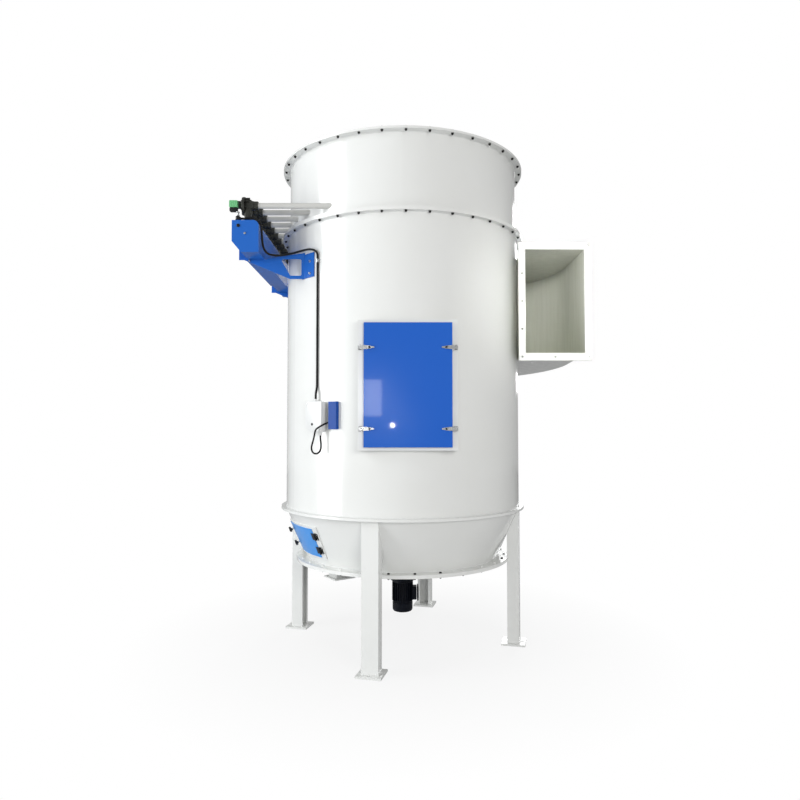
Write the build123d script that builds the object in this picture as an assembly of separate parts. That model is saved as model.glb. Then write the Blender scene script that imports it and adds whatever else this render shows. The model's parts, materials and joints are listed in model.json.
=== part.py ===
"""Round pulse-jet dust collector on four legs, with a scroll inlet and an air header.

Millimetres, +Z up. The origin is on the filter's vertical axis at floor level.
The access door faces -Y. An azimuth is counted from -Y towards +X.
"""
from build123d import *

import os
from math import acos, cos, degrees, hypot, pi, radians, sin, sqrt, tan

os.makedirs("parts", exist_ok=True)

# Clearances and thicknesses that many pieces share
FIT_GAP = 0.3
CUT_PAST = 20.0
SHELL_WALL = 4.0
RING_REACH = 32.0
RING_THICK = 8.0

# Shell, from the floor up
BODY_R = 768.0
BODY_BASE_Z = 857.0
BODY_HEIGHT = 1752.0
BODY_RING_THICK = 14.0
BODY_SEAMS = (-60.0, 30.0, 120.0, 210.0, 300.0)
CHAMBER_INSET = 14.0
CHAMBER_HEIGHT = 458.0
TUBE_SHEET_THICK = 5.0
ROOF_THICK = 5.0

# Hopper under the shell
HOPPER_TAPER = 140.0
HOPPER_HEIGHT = 312.0
HOPPER_WALL = 4.0
FOOT_RING_REACH = 72.0
FOOT_RING_LIP = 20.0
FOOT_RING_THICK = 10.0
BOTTOM_PLATE_THICK = 10.0

# Legs
LEG_AZIMUTHS = (-13.7, 76.3, 166.3, 256.3)
LEG_INSET = 34.0
LEG_WIDTH = 100.0
LEG_DEPTH = 75.0
LEG_LIP = 18.0
LEG_WALL = 5.0
FOOT_PLATE = 150.0
FOOT_PLATE_THICK = 12.0
ANCHOR_HOLE_R = 9.0
ANCHOR_EDGE = 20.0

# Air outlet on the roof
OUTLET_R = 260.0
OUTLET_WALL = 4.0
OUTLET_RISE = 110.0
OUTLET_FLANGE_REACH = 40.0
OUTLET_BOLTS = 12
OUTLET_HOLE_R = 6.0

# Access door and its collar
DOOR_CENTRE_X = 30.0
DOOR_RISE = 758.0
DOOR_FRAME_WIDTH = 556.0
DOOR_FRAME_HEIGHT = 727.0
DOOR_FRAME_PROUD = 32.0
DOOR_FRAME_WALL = 5.0
DOOR_BORDER_SIDE = 33.0
DOOR_BORDER_END = 18.0
DOOR_OVERLAP = 22.0
DOOR_SHEET = 3.0
DOOR_RIM = 12.0
GASKET_THICK = 5.0
GASKET_WIDTH = 14.0
GASKET_INSET = 4.0

# Toggle latches of the access door
LATCH_SPACING = 450.0
LATCH_DROP = 18.0
LATCH_WIDTH = 26.0
LATCH_EDGE = 2.0
LATCH_PLATE = 3.0
LATCH_TOWER_WIDTH = 14.0
LATCH_RISE = 4.0
LATCH_LEVER_LENGTH = 90.0
LATCH_TIP_WIDTH = 10.0

# Hatch on the hopper
HATCH_HINGE_AZIMUTH = -47.0
HATCH_SPAN = 30.0
HATCH_DROP = 79.0
HATCH_HEIGHT = 176.0
HATCH_BORDER = 26.0
HATCH_FRAME_THICK = 8.0
HATCH_SHEET = 4.0

# Hatch hinges
HINGE_SET = 14.0
HINGE_PIN_R = 3.0
HINGE_KNUCKLE_R = 6.5
HINGE_LENGTH = 44.0
HINGE_LEAF_WIDTH = 24.0
HINGE_LEAF_THICK = 3.0
HINGE_SPACING = 94.0
HINGE_PIN_GAP = 0.08
HINGE_END_GAP = 1.0
HINGE_CLEAR = 2.0

# Hatch knobs
KNOB_HUB_R = 9.0
KNOB_LOBE_R = 7.6
KNOB_LOBE_REACH = 12.4
KNOB_THICK = 14.0
KNOB_STUD_R = 5.0
KNOB_STANDOFF = 14.0

# Scroll inlet
INLET_REACH = 440.0
INLET_OFFSET = 165.0
INLET_DROP = 458.0
INLET_WIDTH = 362.0
INLET_HEIGHT = 638.0
INLET_BORDER_SIDE = 42.0
INLET_BORDER_END = 46.0
INLET_FLANGE_THICK = 10.0
INLET_WALL = 4.0
INLET_HOLE_R = 6.0
SCROLL_CENTRE_X = 214.0
SCROLL_FALL = 3.15
WAY_IN_START = 95.0
WAY_IN_END = 165.0
WAY_IN_MARGIN = 40.0

# Air header, its valves and its blow pipes
HEADER_GAP = 66.0
HEADER_WIDTH = 156.0
HEADER_HEIGHT = 187.0
HEADER_END = 55.0
HEADER_CORNER_R = 34.0
HEADER_CHAMFER_X = 54.0
HEADER_CHAMFER_Z = 64.0
VALVE_ROWS = 11
VALVE_PITCH = 122.6
VALVE_SET = 81.0
VALVE_STEM_R = 20.0
VALVE_BODY_R = 32.0
VALVE_BODY_LENGTH = 47.0
BONNET_R = 50.0
BONNET_THICK = 26.0
BONNET_SET = 13.0
PILOT_SIDE = 30.0
PILOT_DEPTH = 27.0
NOSE_R = 25.0
NOSE_LENGTH = 28.0
PIPE_RISE = 67.0
PIPE_DROP = 101.0
PIPE_R = 16.5
PIPE_WALL = 2.5
PIPE_REACH = 40.0

# Console arms and the shelf under the header
ARM_Y = 490.0
ARM_THICK = 6.0
ARM_DEPTH = 118.0
ARM_RISE = 40.0
ARM_TAB_WIDTH = 30.0
ARM_TAB_DROP = 2.0
ARM_KNEE = 90.0
ARM_SHOULDER = 154.0
ARM_SHOULDER_RISE = 19.0
ARM_NECK = 8.0
EYE_TOP_REACH = 146.0
EYE_BASE_REACH = 88.0
EYE_MARGIN = 21.0
EYE_RISE = 3.0
EYE_DROP = 98.0
EYE_CORNER_R = 9.0
PAD_BACK = 1.6
PAD_FRONT = 7.4
PAD_DROP = 13.0
SHELF_THICK = 5.0
SHELF_INSET = 45.0
SHELF_LENGTH = 719.0

# Supply fitting and the lead's gland on the header's near end
FITTING_INSET = 30.0
FITTING_SET_IN = 20.0
GLAND_FOOT = 26.0
GLAND_FOOT_HEIGHT = 29.0
GLAND_FOOT_NOSE = 5.0
GLAND_NOSE_RISE = 14.0
GLAND_WALL = 3.0
ELBOW_R = 10.0
ELBOW_HEIGHT = 25.0
CAP_WIDTH = 51.0
CAP_LENGTH = 36.0
CAP_HEIGHT = 65.0
CAP_SHIFT = 24.0

# Control box and the channel beside it
BOX_AZIMUTH = -39.75
BOX_WIDTH = 133.0
BOX_HEIGHT = 174.0
BOX_DEPTH = 35.0
BOX_STANDOFF = 8.0
BOX_RISE = 498.0
BOX_CORNER_R = 50.0
BOX_FOOT_MARGIN = 30.0
RAIL_AZIMUTH = -30.4
RAIL_WIDTH = 54.0
RAIL_DEPTH = 27.0
RAIL_HEIGHT = 159.0
RAIL_WALL = 3.0
RAIL_DROP = 2.0
RAIL_BLOCK_LENGTH = 20.0
RAIL_BLOCK_SIDE = 18.0
RAIL_BLOCK_RISE = 35.0
BOX_GLAND_R = 11.0
UPPER_GLAND_X = -4.9
UPPER_GLAND_DEPTH = 11.0
UPPER_GLAND_HEIGHT = 15.0
LOWER_GLAND_X = 50.1
LOWER_GLAND_DEPTH = 23.9
LOWER_GLAND_HEIGHT = 22.0

# Lead from the header to the control box, clipped to the shell, and its points
LEAD_R = 6.5
LEAD_AZIMUTH = -40.3
ARC_SHARE = 0.45
CLIP_DROP = 259.0
CLIP_HOLE_OUT = 7.05
CLIP_HEIGHT = 20.0
CLIP_WIDTH = 40.0
CLIP_THICK = 17.0
CLIP_GAP = 0.2
HEADER_LEAD = (
    (-942, -648, 2594), (-914, -648, 2594), (-884, -650, 2599), (-856, -652, 2594),
    (-833, -654, 2576), (-822, -654, 2546), (-819, -650, 2506), (-818, -643, 2461),
    (-812, -630, 2420), (-792, -604, 2397), (-754, -568, 2397), (-706, -537, 2409),
    (-655, -521, 2425), (-604, -528, 2438), (-560, -553, 2441), (-525, -581, 2429),
    (-503, -596, 2410), (-501.3, -591.1, 2380), (-501.3, -591.1, 1612),
    (-507, -602, 1576), (-507, -602, 1544),
)

# Thin lead that loops from the channel to the box's underside, and its points
LOOP_R = 5.0
CONTROL_LEAD = (
    (-391.4, -674.8, 1412), (-411.5, -663, 1412), (-437, -655, 1404), (-455, -676, 1394),
    (-478, -684, 1380), (-500.6, -661, 1366), (-507, -662, 1326), (-516, -662, 1290),
    (-522, -661, 1270), (-522, -660, 1252), (-516, -659, 1236), (-502, -657, 1227.5),
    (-486, -654, 1230), (-474, -652, 1242), (-469, -650, 1262), (-469, -648, 1288),
    (-473, -647, 1312), (-473, -647, 1333),
)

# Gear motor and dust spout under the hopper
MOTOR_R = 70.0
MOTOR_DROP = 163.0
MOTOR_HEIGHT = 206.0
MOTOR_EDGE_R = 20.0
MOTOR_FLANGE_R = 82.0
MOTOR_FLANGE_THICK = 12.0
GEARBOX_R = 74.0
GEARBOX_FLANGE_R = 105.0
GEARBOX_FLANGE_THICK = 14.0
TERMINAL_REACH = 36.0
TERMINAL_WIDTH = 84.0
TERMINAL_HEIGHT = 92.0
TERMINAL_RISE = 74.0
SPOUT_AZIMUTH = -55.06
SPOUT_INSET = 146.0
SPOUT_SIDE = 100.0
SPOUT_WALL = 4.0
SPOUT_LENGTH = 87.0
SPOUT_FLANGE_REACH = 22.0
SPOUT_FLANGE_THICK = 8.0
SPOUT_HOLE_R = 5.0

# Radii and heights that follow
chamber_r = BODY_R - CHAMBER_INSET
flange_r = BODY_R + RING_REACH
hopper_foot_r = BODY_R - HOPPER_TAPER
foot_ring_r = hopper_foot_r + FOOT_RING_REACH
body_ring_top = BODY_BASE_Z + BODY_RING_THICK
body_top = BODY_BASE_Z + BODY_HEIGHT
chamber_base = body_top + TUBE_SHEET_THICK
chamber_top = chamber_base + CHAMBER_HEIGHT
roof_top = chamber_top + ROOF_THICK
hopper_foot_z = BODY_BASE_Z - HOPPER_HEIGHT
bottom_plate_top = hopper_foot_z - FOOT_RING_THICK
bottom_plate_base = bottom_plate_top - BOTTOM_PLATE_THICK

# The cone's slope
cone_slant = hypot(HOPPER_HEIGHT, HOPPER_TAPER)
slope_sin = HOPPER_TAPER / cone_slant
slope_cos = HOPPER_HEIGHT / cone_slant


def turned(outline, start, end):
    """Solid turned about the vertical axis from an (r, z) outline, between two azimuths."""
    face = make_face(Polyline(*[(r, 0, z) for r, z in outline], close=True))
    return Rot(0, 0, start - 90) * revolve(face, axis=Axis.Z, revolution_arc=end - start)


def band(inner, outer, base, top, start=0.0, end=360.0):
    """Upright ring, or part of one, between two radii and two heights."""
    return turned([(inner, base), (outer, base), (outer, top), (inner, top)], start, end)


def block(x_range, y_range, z_range):
    """Box from its lowest to its highest values along each axis."""
    size = [high - low for low, high in (x_range, y_range, z_range)]
    centre = [(high + low) / 2 for low, high in (x_range, y_range, z_range)]
    return Pos(*centre) * Box(*size)


def middle(centre, length):
    """Range of a length about its centre."""
    return centre - length / 2, centre + length / 2


def at_azimuth(shape, azimuth):
    """A shape modelled at the front, turned to its azimuth."""
    return Rot(0, 0, azimuth) * shape


def on_shell(azimuth, radius, z=0.0):
    """Point at an azimuth, a radius and a height."""
    return Vector(radius * sin(radians(azimuth)), -radius * cos(radians(azimuth)), z)


def off_shell(shape):
    """What is left of a shape outside the lower shell, with the fitting gap."""
    return shape - band(0, BODY_R + FIT_GAP, BODY_BASE_Z - CUT_PAST, body_top + CUT_PAST)


def main_part(shape):
    """The largest solid of a cut shape."""
    return max(shape.solids(), key=lambda solid: solid.volume)


def save(name, *shapes):
    """One node, from solids that stay apart."""
    solids = [solid for shape in shapes for solid in shape.solids()]
    export_step(Compound(children=solids), f"parts/{name}.step")


# Sizes of the access door that follow from its collar
door_centre_z = BODY_BASE_Z + DOOR_RISE
door_frame_y = -(BODY_R + DOOR_FRAME_PROUD)
door_width = DOOR_FRAME_WIDTH - 2 * DOOR_BORDER_SIDE
door_height = DOOR_FRAME_HEIGHT - 2 * DOOR_BORDER_END
door_back_y = door_frame_y - GASKET_THICK
door_face_y = door_back_y - DOOR_RIM


def door_block(inset, y_from, y_to):
    """Block of the door's outline, drawn in by an inset on every side."""
    return block(middle(DOOR_CENTRE_X, door_width - 2 * inset), (y_from, y_to),
                 middle(door_centre_z, door_height - 2 * inset))


# Sizes of the inlet that the shell's way in and the scroll share
inlet_x = BODY_R + INLET_OFFSET
inlet_z = body_top - INLET_DROP
inlet_outer_x = inlet_x + INLET_WIDTH / 2
inlet_inner_x = inlet_x - INLET_WIDTH / 2
inlet_base_z = inlet_z - INLET_HEIGHT / 2
inlet_top_z = inlet_z + INLET_HEIGHT / 2
scroll_r = inlet_outer_x + INLET_WALL - SCROLL_CENTRE_X


def make_body():
    """Lower shell in four rolled plates, with the door's and the scroll's openings."""
    way_in = band(BODY_R - CUT_PAST, BODY_R + CUT_PAST, inlet_base_z + WAY_IN_MARGIN,
                  inlet_top_z - WAY_IN_MARGIN, WAY_IN_START, WAY_IN_END)
    plates = ("body_front", "body_right", "body_rear", "body_left")
    for name, start, end in zip(plates, BODY_SEAMS, BODY_SEAMS[1:]):
        plate = band(BODY_R - SHELL_WALL, BODY_R, body_ring_top, body_top - RING_THICK, start, end)
        if name == "body_front":
            plate -= door_block(DOOR_OVERLAP, door_frame_y, 0)
        if name in ("body_right", "body_rear"):
            plate -= way_in
        save(name, plate)
    save("body_base_ring", band(BODY_R - SHELL_WALL, flange_r, BODY_BASE_Z, body_ring_top))
    save("body_top_flange", band(BODY_R - SHELL_WALL, flange_r, body_top - RING_THICK, body_top))


# Places of the header, its valves and its pipes
header_inner_x = -(BODY_R + HEADER_GAP)
header_outer_x = header_inner_x - HEADER_WIDTH
header_length = (VALVE_ROWS - 1) * VALVE_PITCH + 2 * HEADER_END
pipe_z = chamber_base + PIPE_RISE
header_top = pipe_z - PIPE_DROP
header_base = header_top - HEADER_HEIGHT
valve_x = header_outer_x + VALVE_SET
valve_rows = [(k - (VALVE_ROWS - 1) / 2) * VALVE_PITCH for k in range(VALVE_ROWS)]


def make_chamber():
    """Clean-air chamber: tube sheet, two half shells, flanges, roof and the air outlet."""
    save("tube_sheet", band(0, flange_r, body_top, chamber_base))
    low = chamber_base + RING_THICK
    high = chamber_top - RING_THICK
    save("chamber_base_flange", band(chamber_r - SHELL_WALL, flange_r, chamber_base, low))
    save("chamber_top_flange", band(chamber_r - SHELL_WALL, flange_r, high, chamber_top))
    save("chamber_right", band(chamber_r - SHELL_WALL, chamber_r, low, high, 0, 180))
    left = band(chamber_r - SHELL_WALL, chamber_r, low, high, 180, 360)
    for y in valve_rows:
        hole = Cylinder(PIPE_R + FIT_GAP, chamber_r, rotation=(0, 90, 0))
        left -= Pos(-sqrt(chamber_r ** 2 - y ** 2), y, pipe_z) * hole
    save("chamber_left", left)
    save("roof", band(OUTLET_R - OUTLET_WALL, flange_r, chamber_top, roof_top))

    outlet_top = roof_top + OUTLET_RISE
    collar = band(OUTLET_R - OUTLET_WALL, OUTLET_R, roof_top, outlet_top)
    collar += band(OUTLET_R, OUTLET_R + OUTLET_FLANGE_REACH, outlet_top - RING_THICK, outlet_top)
    for k in range(OUTLET_BOLTS):
        centre = on_shell(k * 360 / OUTLET_BOLTS, OUTLET_R + OUTLET_FLANGE_REACH / 2, outlet_top)
        collar -= Pos(centre) * Cylinder(OUTLET_HOLE_R, 4 * RING_THICK)
    save("air_outlet", collar)


def cone_r(z):
    """Outer radius of the hopper at a height."""
    return hopper_foot_r + HOPPER_TAPER * (z - hopper_foot_z) / HOPPER_HEIGHT


def cone_band(low_z, high_z, inner, outer, start, end):
    """Part of a sheet that lies on the cone, between two offsets from its outer face."""
    corners = []
    for z, offset in ((low_z, inner), (low_z, outer), (high_z, outer), (high_z, inner)):
        corners.append((cone_r(z) + offset * slope_cos, z - offset * slope_sin))
    return turned(corners, start, end)


# Places of the hatch on the cone
hatch_top_z = BODY_BASE_Z - HATCH_DROP
hatch_foot_z = hatch_top_z - HATCH_HEIGHT
hatch_mid_z = (hatch_top_z + hatch_foot_z) / 2
hatch_free_azimuth = HATCH_HINGE_AZIMUTH - HATCH_SPAN
lid_face = HATCH_FRAME_THICK + FIT_GAP + HATCH_SHEET
pin_height = lid_face + HINGE_LEAF_THICK


def cone_angle(length):
    """Azimuth that a length takes up round the cone at the hatch."""
    return degrees(length / cone_r(hatch_mid_z))


def hatch_way():
    """The hatch's opening, smaller than its lid by the border all round."""
    margin = HATCH_BORDER * slope_cos
    return cone_band(hatch_foot_z + margin, hatch_top_z - margin, -CUT_PAST, CUT_PAST,
                     hatch_free_azimuth + cone_angle(HATCH_BORDER),
                     HATCH_HINGE_AZIMUTH - cone_angle(HATCH_BORDER))


def make_hopper():
    """Steep cone in two halves, its foot ring and the flat bottom."""
    wall = HOPPER_WALL / slope_cos
    for name, start, end in (("hopper_right", 0, 180), ("hopper_left", 180, 360)):
        plate = turned([(hopper_foot_r - wall, hopper_foot_z), (hopper_foot_r, hopper_foot_z),
                        (BODY_R, BODY_BASE_Z), (BODY_R - wall, BODY_BASE_Z)], start, end)
        if name == "hopper_left":
            plate -= hatch_way()
        save(name, plate)
    save("hopper_foot_ring", band(hopper_foot_r - FOOT_RING_LIP, foot_ring_r, bottom_plate_top,
                                  hopper_foot_z))
    plate = band(0, foot_ring_r, bottom_plate_base, bottom_plate_top)
    plate -= spout_column(SPOUT_SIDE - 2 * SPOUT_WALL, bottom_plate_base - CUT_PAST, hopper_foot_z)
    save("bottom_plate", plate)


def make_legs():
    """Four lipped channel legs, open towards the axis, and their foot plates."""
    centre_r = BODY_R - LEG_INSET
    outer_y, inner_y = middle(-centre_r, LEG_DEPTH)
    anchor_r = centre_r + FOOT_PLATE / 2 - ANCHOR_EDGE
    under_cone = turned([(0, 0), (cone_r(0) + FIT_GAP, 0), (cone_r(BODY_BASE_Z) + FIT_GAP, BODY_BASE_Z),
                         (0, BODY_BASE_Z)], 0, 360)
    ring_notch = band(0, foot_ring_r + FIT_GAP, bottom_plate_base - FIT_GAP, hopper_foot_z + FIT_GAP)
    legs, feet = [], []
    for azimuth in LEG_AZIMUTHS:
        channel = block(middle(0, LEG_WIDTH), (outer_y, inner_y), (FOOT_PLATE_THICK, BODY_BASE_Z))
        channel -= block(middle(0, LEG_WIDTH - 2 * LEG_WALL), (outer_y + LEG_WALL, inner_y - LEG_WALL),
                         (0, BODY_BASE_Z + CUT_PAST))
        channel -= block(middle(0, LEG_WIDTH - 2 * LEG_LIP), (-centre_r, inner_y + CUT_PAST),
                         (0, BODY_BASE_Z + CUT_PAST))
        legs.append(main_part(at_azimuth(channel, azimuth) - under_cone - ring_notch))
        plate = block(middle(0, FOOT_PLATE), middle(-centre_r, FOOT_PLATE), (0, FOOT_PLATE_THICK))
        plate -= Pos(0, -anchor_r, 0) * Cylinder(ANCHOR_HOLE_R, 4 * FOOT_PLATE_THICK)
        feet.append(at_azimuth(plate, azimuth))
    save("legs", *legs)
    save("foot_plates", *feet)


def make_door():
    """Welded door collar, lift-off door with its gasket, and four toggle latches."""
    wall = DOOR_FRAME_WALL
    collar = block(middle(DOOR_CENTRE_X, DOOR_FRAME_WIDTH), (door_frame_y, -BODY_R / 2),
                   middle(door_centre_z, DOOR_FRAME_HEIGHT))
    collar -= block(middle(DOOR_CENTRE_X, DOOR_FRAME_WIDTH - 2 * wall), (door_frame_y + wall, 0),
                    middle(door_centre_z, DOOR_FRAME_HEIGHT - 2 * wall))
    collar -= door_block(DOOR_OVERLAP, door_frame_y - CUT_PAST, 0)
    save("door_frame", off_shell(collar))

    seal = door_block(GASKET_INSET, door_back_y, door_frame_y)
    seal -= door_block(GASKET_INSET + GASKET_WIDTH, door_back_y - CUT_PAST, door_frame_y + CUT_PAST)
    save("door_gasket", seal)
    tray = door_block(0, door_face_y, door_back_y)
    tray -= door_block(DOOR_SHEET, door_face_y + DOOR_SHEET, door_back_y + CUT_PAST)
    tray += door_block(DOOR_SHEET, door_back_y - DOOR_SHEET, door_back_y)
    save("access_door", tray)
    make_latches()


def make_latches():
    """Toggle latches: a base on the collar and a lever that reaches over the door."""
    bases, levers = [], []
    lever_y = door_face_y - LATCH_RISE
    for row in (-1, 1):
        z = door_centre_z - LATCH_DROP + row * LATCH_SPACING / 2
        for hand in (-1, 1):
            near = DOOR_CENTRE_X + hand * (DOOR_FRAME_WIDTH / 2 - LATCH_EDGE)
            far = near - hand * (DOOR_BORDER_SIDE - 2 * LATCH_EDGE)
            base = block((min(near, far), max(near, far)), (door_frame_y - LATCH_PLATE, door_frame_y),
                         middle(z, LATCH_WIDTH))
            base += block(middle((near + far) / 2, LATCH_TOWER_WIDTH), (lever_y, door_frame_y),
                          middle(z, LATCH_WIDTH - 2 * LATCH_PLATE))
            bases.append(base)
            tip = near - hand * LATCH_LEVER_LENGTH
            root_half = LATCH_WIDTH / 2 - LATCH_EDGE
            outline = Polyline((near, 0, z - root_half), (near, 0, z + root_half),
                               (tip, 0, z + LATCH_TIP_WIDTH / 2), (tip, 0, z - LATCH_TIP_WIDTH / 2),
                               close=True)
            lever = extrude(make_face(outline), amount=LATCH_RISE, dir=(0, -1, 0))
            levers.append(Pos(0, lever_y, 0) * lever)
    save("latch_bases", *bases)
    save("latch_levers", *levers)


def hatch_plane(azimuth):
    """Plane on the cone at the hatch: x to the right, y up the slope, z outwards."""
    return Plane(origin=on_shell(azimuth, cone_r(hatch_mid_z), hatch_mid_z),
                 x_dir=on_shell(azimuth + 90, 1.0), z_dir=on_shell(azimuth, slope_cos, -slope_sin))


def make_hatch():
    """Curved inspection hatch on the cone, with its frame and its hinges."""
    margin = HATCH_BORDER / 2
    frame = cone_band(hatch_foot_z - margin * slope_cos, hatch_top_z + margin * slope_cos, FIT_GAP,
                      HATCH_FRAME_THICK, hatch_free_azimuth - cone_angle(margin),
                      HATCH_HINGE_AZIMUTH + cone_angle(HINGE_SET + HINGE_LEAF_WIDTH + HINGE_CLEAR))
    save("hatch_frame", frame - hatch_way())
    save("hatch_lid", cone_band(hatch_foot_z, hatch_top_z, HATCH_FRAME_THICK + FIT_GAP, lid_face,
                                hatch_free_azimuth, HATCH_HINGE_AZIMUTH))

    line = hatch_plane(HATCH_HINGE_AZIMUTH + cone_angle(HINGE_SET))
    third = HINGE_LENGTH / 3
    reach = HINGE_LEAF_WIDTH + HINGE_SET / 2
    barrel = Cylinder(HINGE_KNUCKLE_R, third, rotation=(90, 0, 0))
    fixed, moving = [], []
    for side in (-1, 1):
        mid = side * HINGE_SPACING / 2
        whole = middle(mid, HINGE_LENGTH)
        leaf = block((0, HINGE_LEAF_WIDTH), whole,
                     (HATCH_FRAME_THICK, HATCH_FRAME_THICK + HINGE_LEAF_THICK))
        leaf += Pos(0, mid - third, pin_height) * barrel
        leaf += Pos(0, mid + third, pin_height) * barrel
        leaf -= block((-HINGE_LEAF_WIDTH, HINGE_KNUCKLE_R + HINGE_CLEAR),
                      middle(mid, third + 2 * HINGE_END_GAP), (0, pin_height + HINGE_LEAF_WIDTH))
        leaf += Pos(0, mid, pin_height) * Cylinder(HINGE_PIN_R, HINGE_LENGTH, rotation=(90, 0, 0))
        fixed.append(line * leaf)
        flap = block((-reach, 0), middle(mid, third), (lid_face, lid_face + HINGE_LEAF_THICK))
        flap += block((-reach, -HINGE_SET / 2 - HINGE_CLEAR), whole,
                      (lid_face, lid_face + HINGE_LEAF_THICK))
        flap += Pos(0, mid, pin_height) * barrel
        flap -= Pos(0, mid, pin_height) * Cylinder(HINGE_PIN_R + HINGE_PIN_GAP, 2 * HINGE_LENGTH,
                                                   rotation=(90, 0, 0))
        moving.append(line * flap)
    save("hatch_hinge_bases", *fixed)
    save("hatch_hinge_flaps", *moving)
    make_knobs()


def make_knobs():
    """Three-lobed clamping knobs on studs at the hatch's free edge."""
    edge = hatch_plane(hatch_free_azimuth + cone_angle(HATCH_BORDER / 2))
    head = Cylinder(KNOB_HUB_R, KNOB_THICK)
    for k in range(3):
        lobe = Pos(KNOB_LOBE_REACH, 0, 0) * Cylinder(KNOB_LOBE_R, KNOB_THICK)
        lobe += Pos(KNOB_LOBE_REACH / 2, 0, 0) * Box(KNOB_LOBE_REACH, KNOB_HUB_R, KNOB_THICK)
        head += Rot(0, 0, 90 + k * 120) * lobe
    knob = Pos(0, 0, lid_face + KNOB_STANDOFF + KNOB_THICK / 2) * head
    knob += Pos(0, 0, lid_face + (KNOB_STANDOFF + KNOB_THICK) / 2) * Cylinder(KNOB_STUD_R,
                                                                              KNOB_STANDOFF + KNOB_THICK)
    save("hatch_knobs", *[edge * (Pos(0, side * HINGE_SPACING / 2, 0) * knob) for side in (-1, 1)])


def inlet_holes():
    """Bolt holes round the inlet flange: corners, three between them up each side, one at each end."""
    half_x = (INLET_WIDTH + INLET_BORDER_SIDE) / 2
    half_z = (INLET_HEIGHT + INLET_BORDER_END) / 2
    sides = [(hand * half_x, k * half_z / 2) for hand in (-1, 1) for k in range(-2, 3)]
    return [(inlet_x + x, inlet_z + z) for x, z in sides + [(0, -half_z), (0, half_z)]]


def scroll_plan(inset, back_y, base, top):
    """The scroll's plan as a solid: a straight run and then an arc round the shell."""
    straight = block((inlet_inner_x - INLET_WALL, inlet_outer_x + INLET_WALL - inset), (back_y, 0),
                     (base, top))
    arc = Pos(SCROLL_CENTRE_X, 0, 0) * band(0, scroll_r - inset, base, top, 90, 270)
    return straight + arc


def make_inlet():
    """Scroll inlet: bolted flange, floor, roof, outer wall and the inner cheek."""
    face_y = -INLET_REACH
    back_y = face_y + INLET_FLANGE_THICK
    flange = block(middle(inlet_x, INLET_WIDTH + 2 * INLET_BORDER_SIDE), (face_y, back_y),
                   middle(inlet_z, INLET_HEIGHT + 2 * INLET_BORDER_END))
    flange -= block((inlet_inner_x, inlet_outer_x), (face_y - CUT_PAST, back_y + CUT_PAST),
                    (inlet_base_z, inlet_top_z))
    for x, z in inlet_holes():
        flange -= Pos(x, face_y, z) * Cylinder(INLET_HOLE_R, 4 * INLET_FLANGE_THICK, rotation=(90, 0, 0))
    save("inlet_flange", off_shell(flange))

    # The floor falls all the way round, and the wall and the cheek stand on it
    span = 2 * scroll_r
    low = inlet_base_z - span * tan(radians(SCROLL_FALL))
    high = inlet_top_z + INLET_WALL
    falling = Pos(0, back_y, inlet_base_z) * Rot(-SCROLL_FALL, 0, 0)
    floor = falling * block((-span, span), (-CUT_PAST, span), (-INLET_WALL, 0))
    beneath = falling * block((-span, span), (-CUT_PAST, span), (-span, 0))
    save("scroll_floor", main_part(off_shell(scroll_plan(0, back_y, low, high) & floor)))
    save("scroll_roof", main_part(off_shell(scroll_plan(0, back_y, inlet_top_z, high))))
    wall = scroll_plan(0, back_y, low, inlet_top_z) - beneath
    wall -= scroll_plan(INLET_WALL, back_y - CUT_PAST, low, high)
    save("scroll_wall", main_part(off_shell(wall)))
    cheek = block((inlet_inner_x - INLET_WALL, inlet_inner_x), (back_y, 0), (low, inlet_top_z)) - beneath
    save("inlet_cheek", main_part(off_shell(cheek)))


def along_x(radius, x_range, y):
    """Cylinder along X at a valve's row, between two places."""
    low, high = x_range
    return Pos((low + high) / 2, y, pipe_z) * Cylinder(radius, high - low, rotation=(0, 90, 0))


def make_header():
    """Air header with its diaphragm valves and blow pipes."""
    x0, x1, z0, z1 = header_outer_x, header_inner_x, header_base, header_top
    outline = make_face(Polyline((x0 + HEADER_CHAMFER_X, 0, z0), (x1, 0, z0), (x1, 0, z1), (x0, 0, z1),
                                 (x0, 0, z0 + HEADER_CHAMFER_Z), close=True))
    tank = extrude(outline, amount=header_length / 2, dir=(0, 1, 0), both=True)
    corner = tank.edges().filter_by(Axis.Y).sort_by(lambda edge: edge.center().X + edge.center().Z)[-1]
    save("header_tank", fillet(corner, HEADER_CORNER_R))

    bonnet_inner = valve_x - BONNET_SET
    bonnet_outer = bonnet_inner - BONNET_THICK
    body_end = bonnet_inner + VALVE_BODY_LENGTH
    nose_end = body_end + NOSE_LENGTH
    valves, pipes = [], []
    for y in valve_rows:
        valve = Pos(valve_x, y, (header_top + pipe_z) / 2) * Cylinder(VALVE_STEM_R, pipe_z - header_top)
        valve += along_x(BONNET_R, (bonnet_outer, bonnet_inner), y)
        valve += along_x(VALVE_BODY_R, (bonnet_inner, body_end), y)
        valve += along_x(NOSE_R, (body_end, nose_end), y)
        valve += block((bonnet_outer - PILOT_DEPTH, bonnet_outer), middle(y, PILOT_SIDE),
                       middle(pipe_z, PILOT_SIDE))
        valves.append(valve)
        ends = (nose_end, PIPE_REACH - sqrt(chamber_r ** 2 - y ** 2))
        pipes.append(along_x(PIPE_R, ends, y) - along_x(PIPE_R - PIPE_WALL, ends, y))
    save("valves", *valves)
    save("blow_pipes", *pipes)


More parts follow.
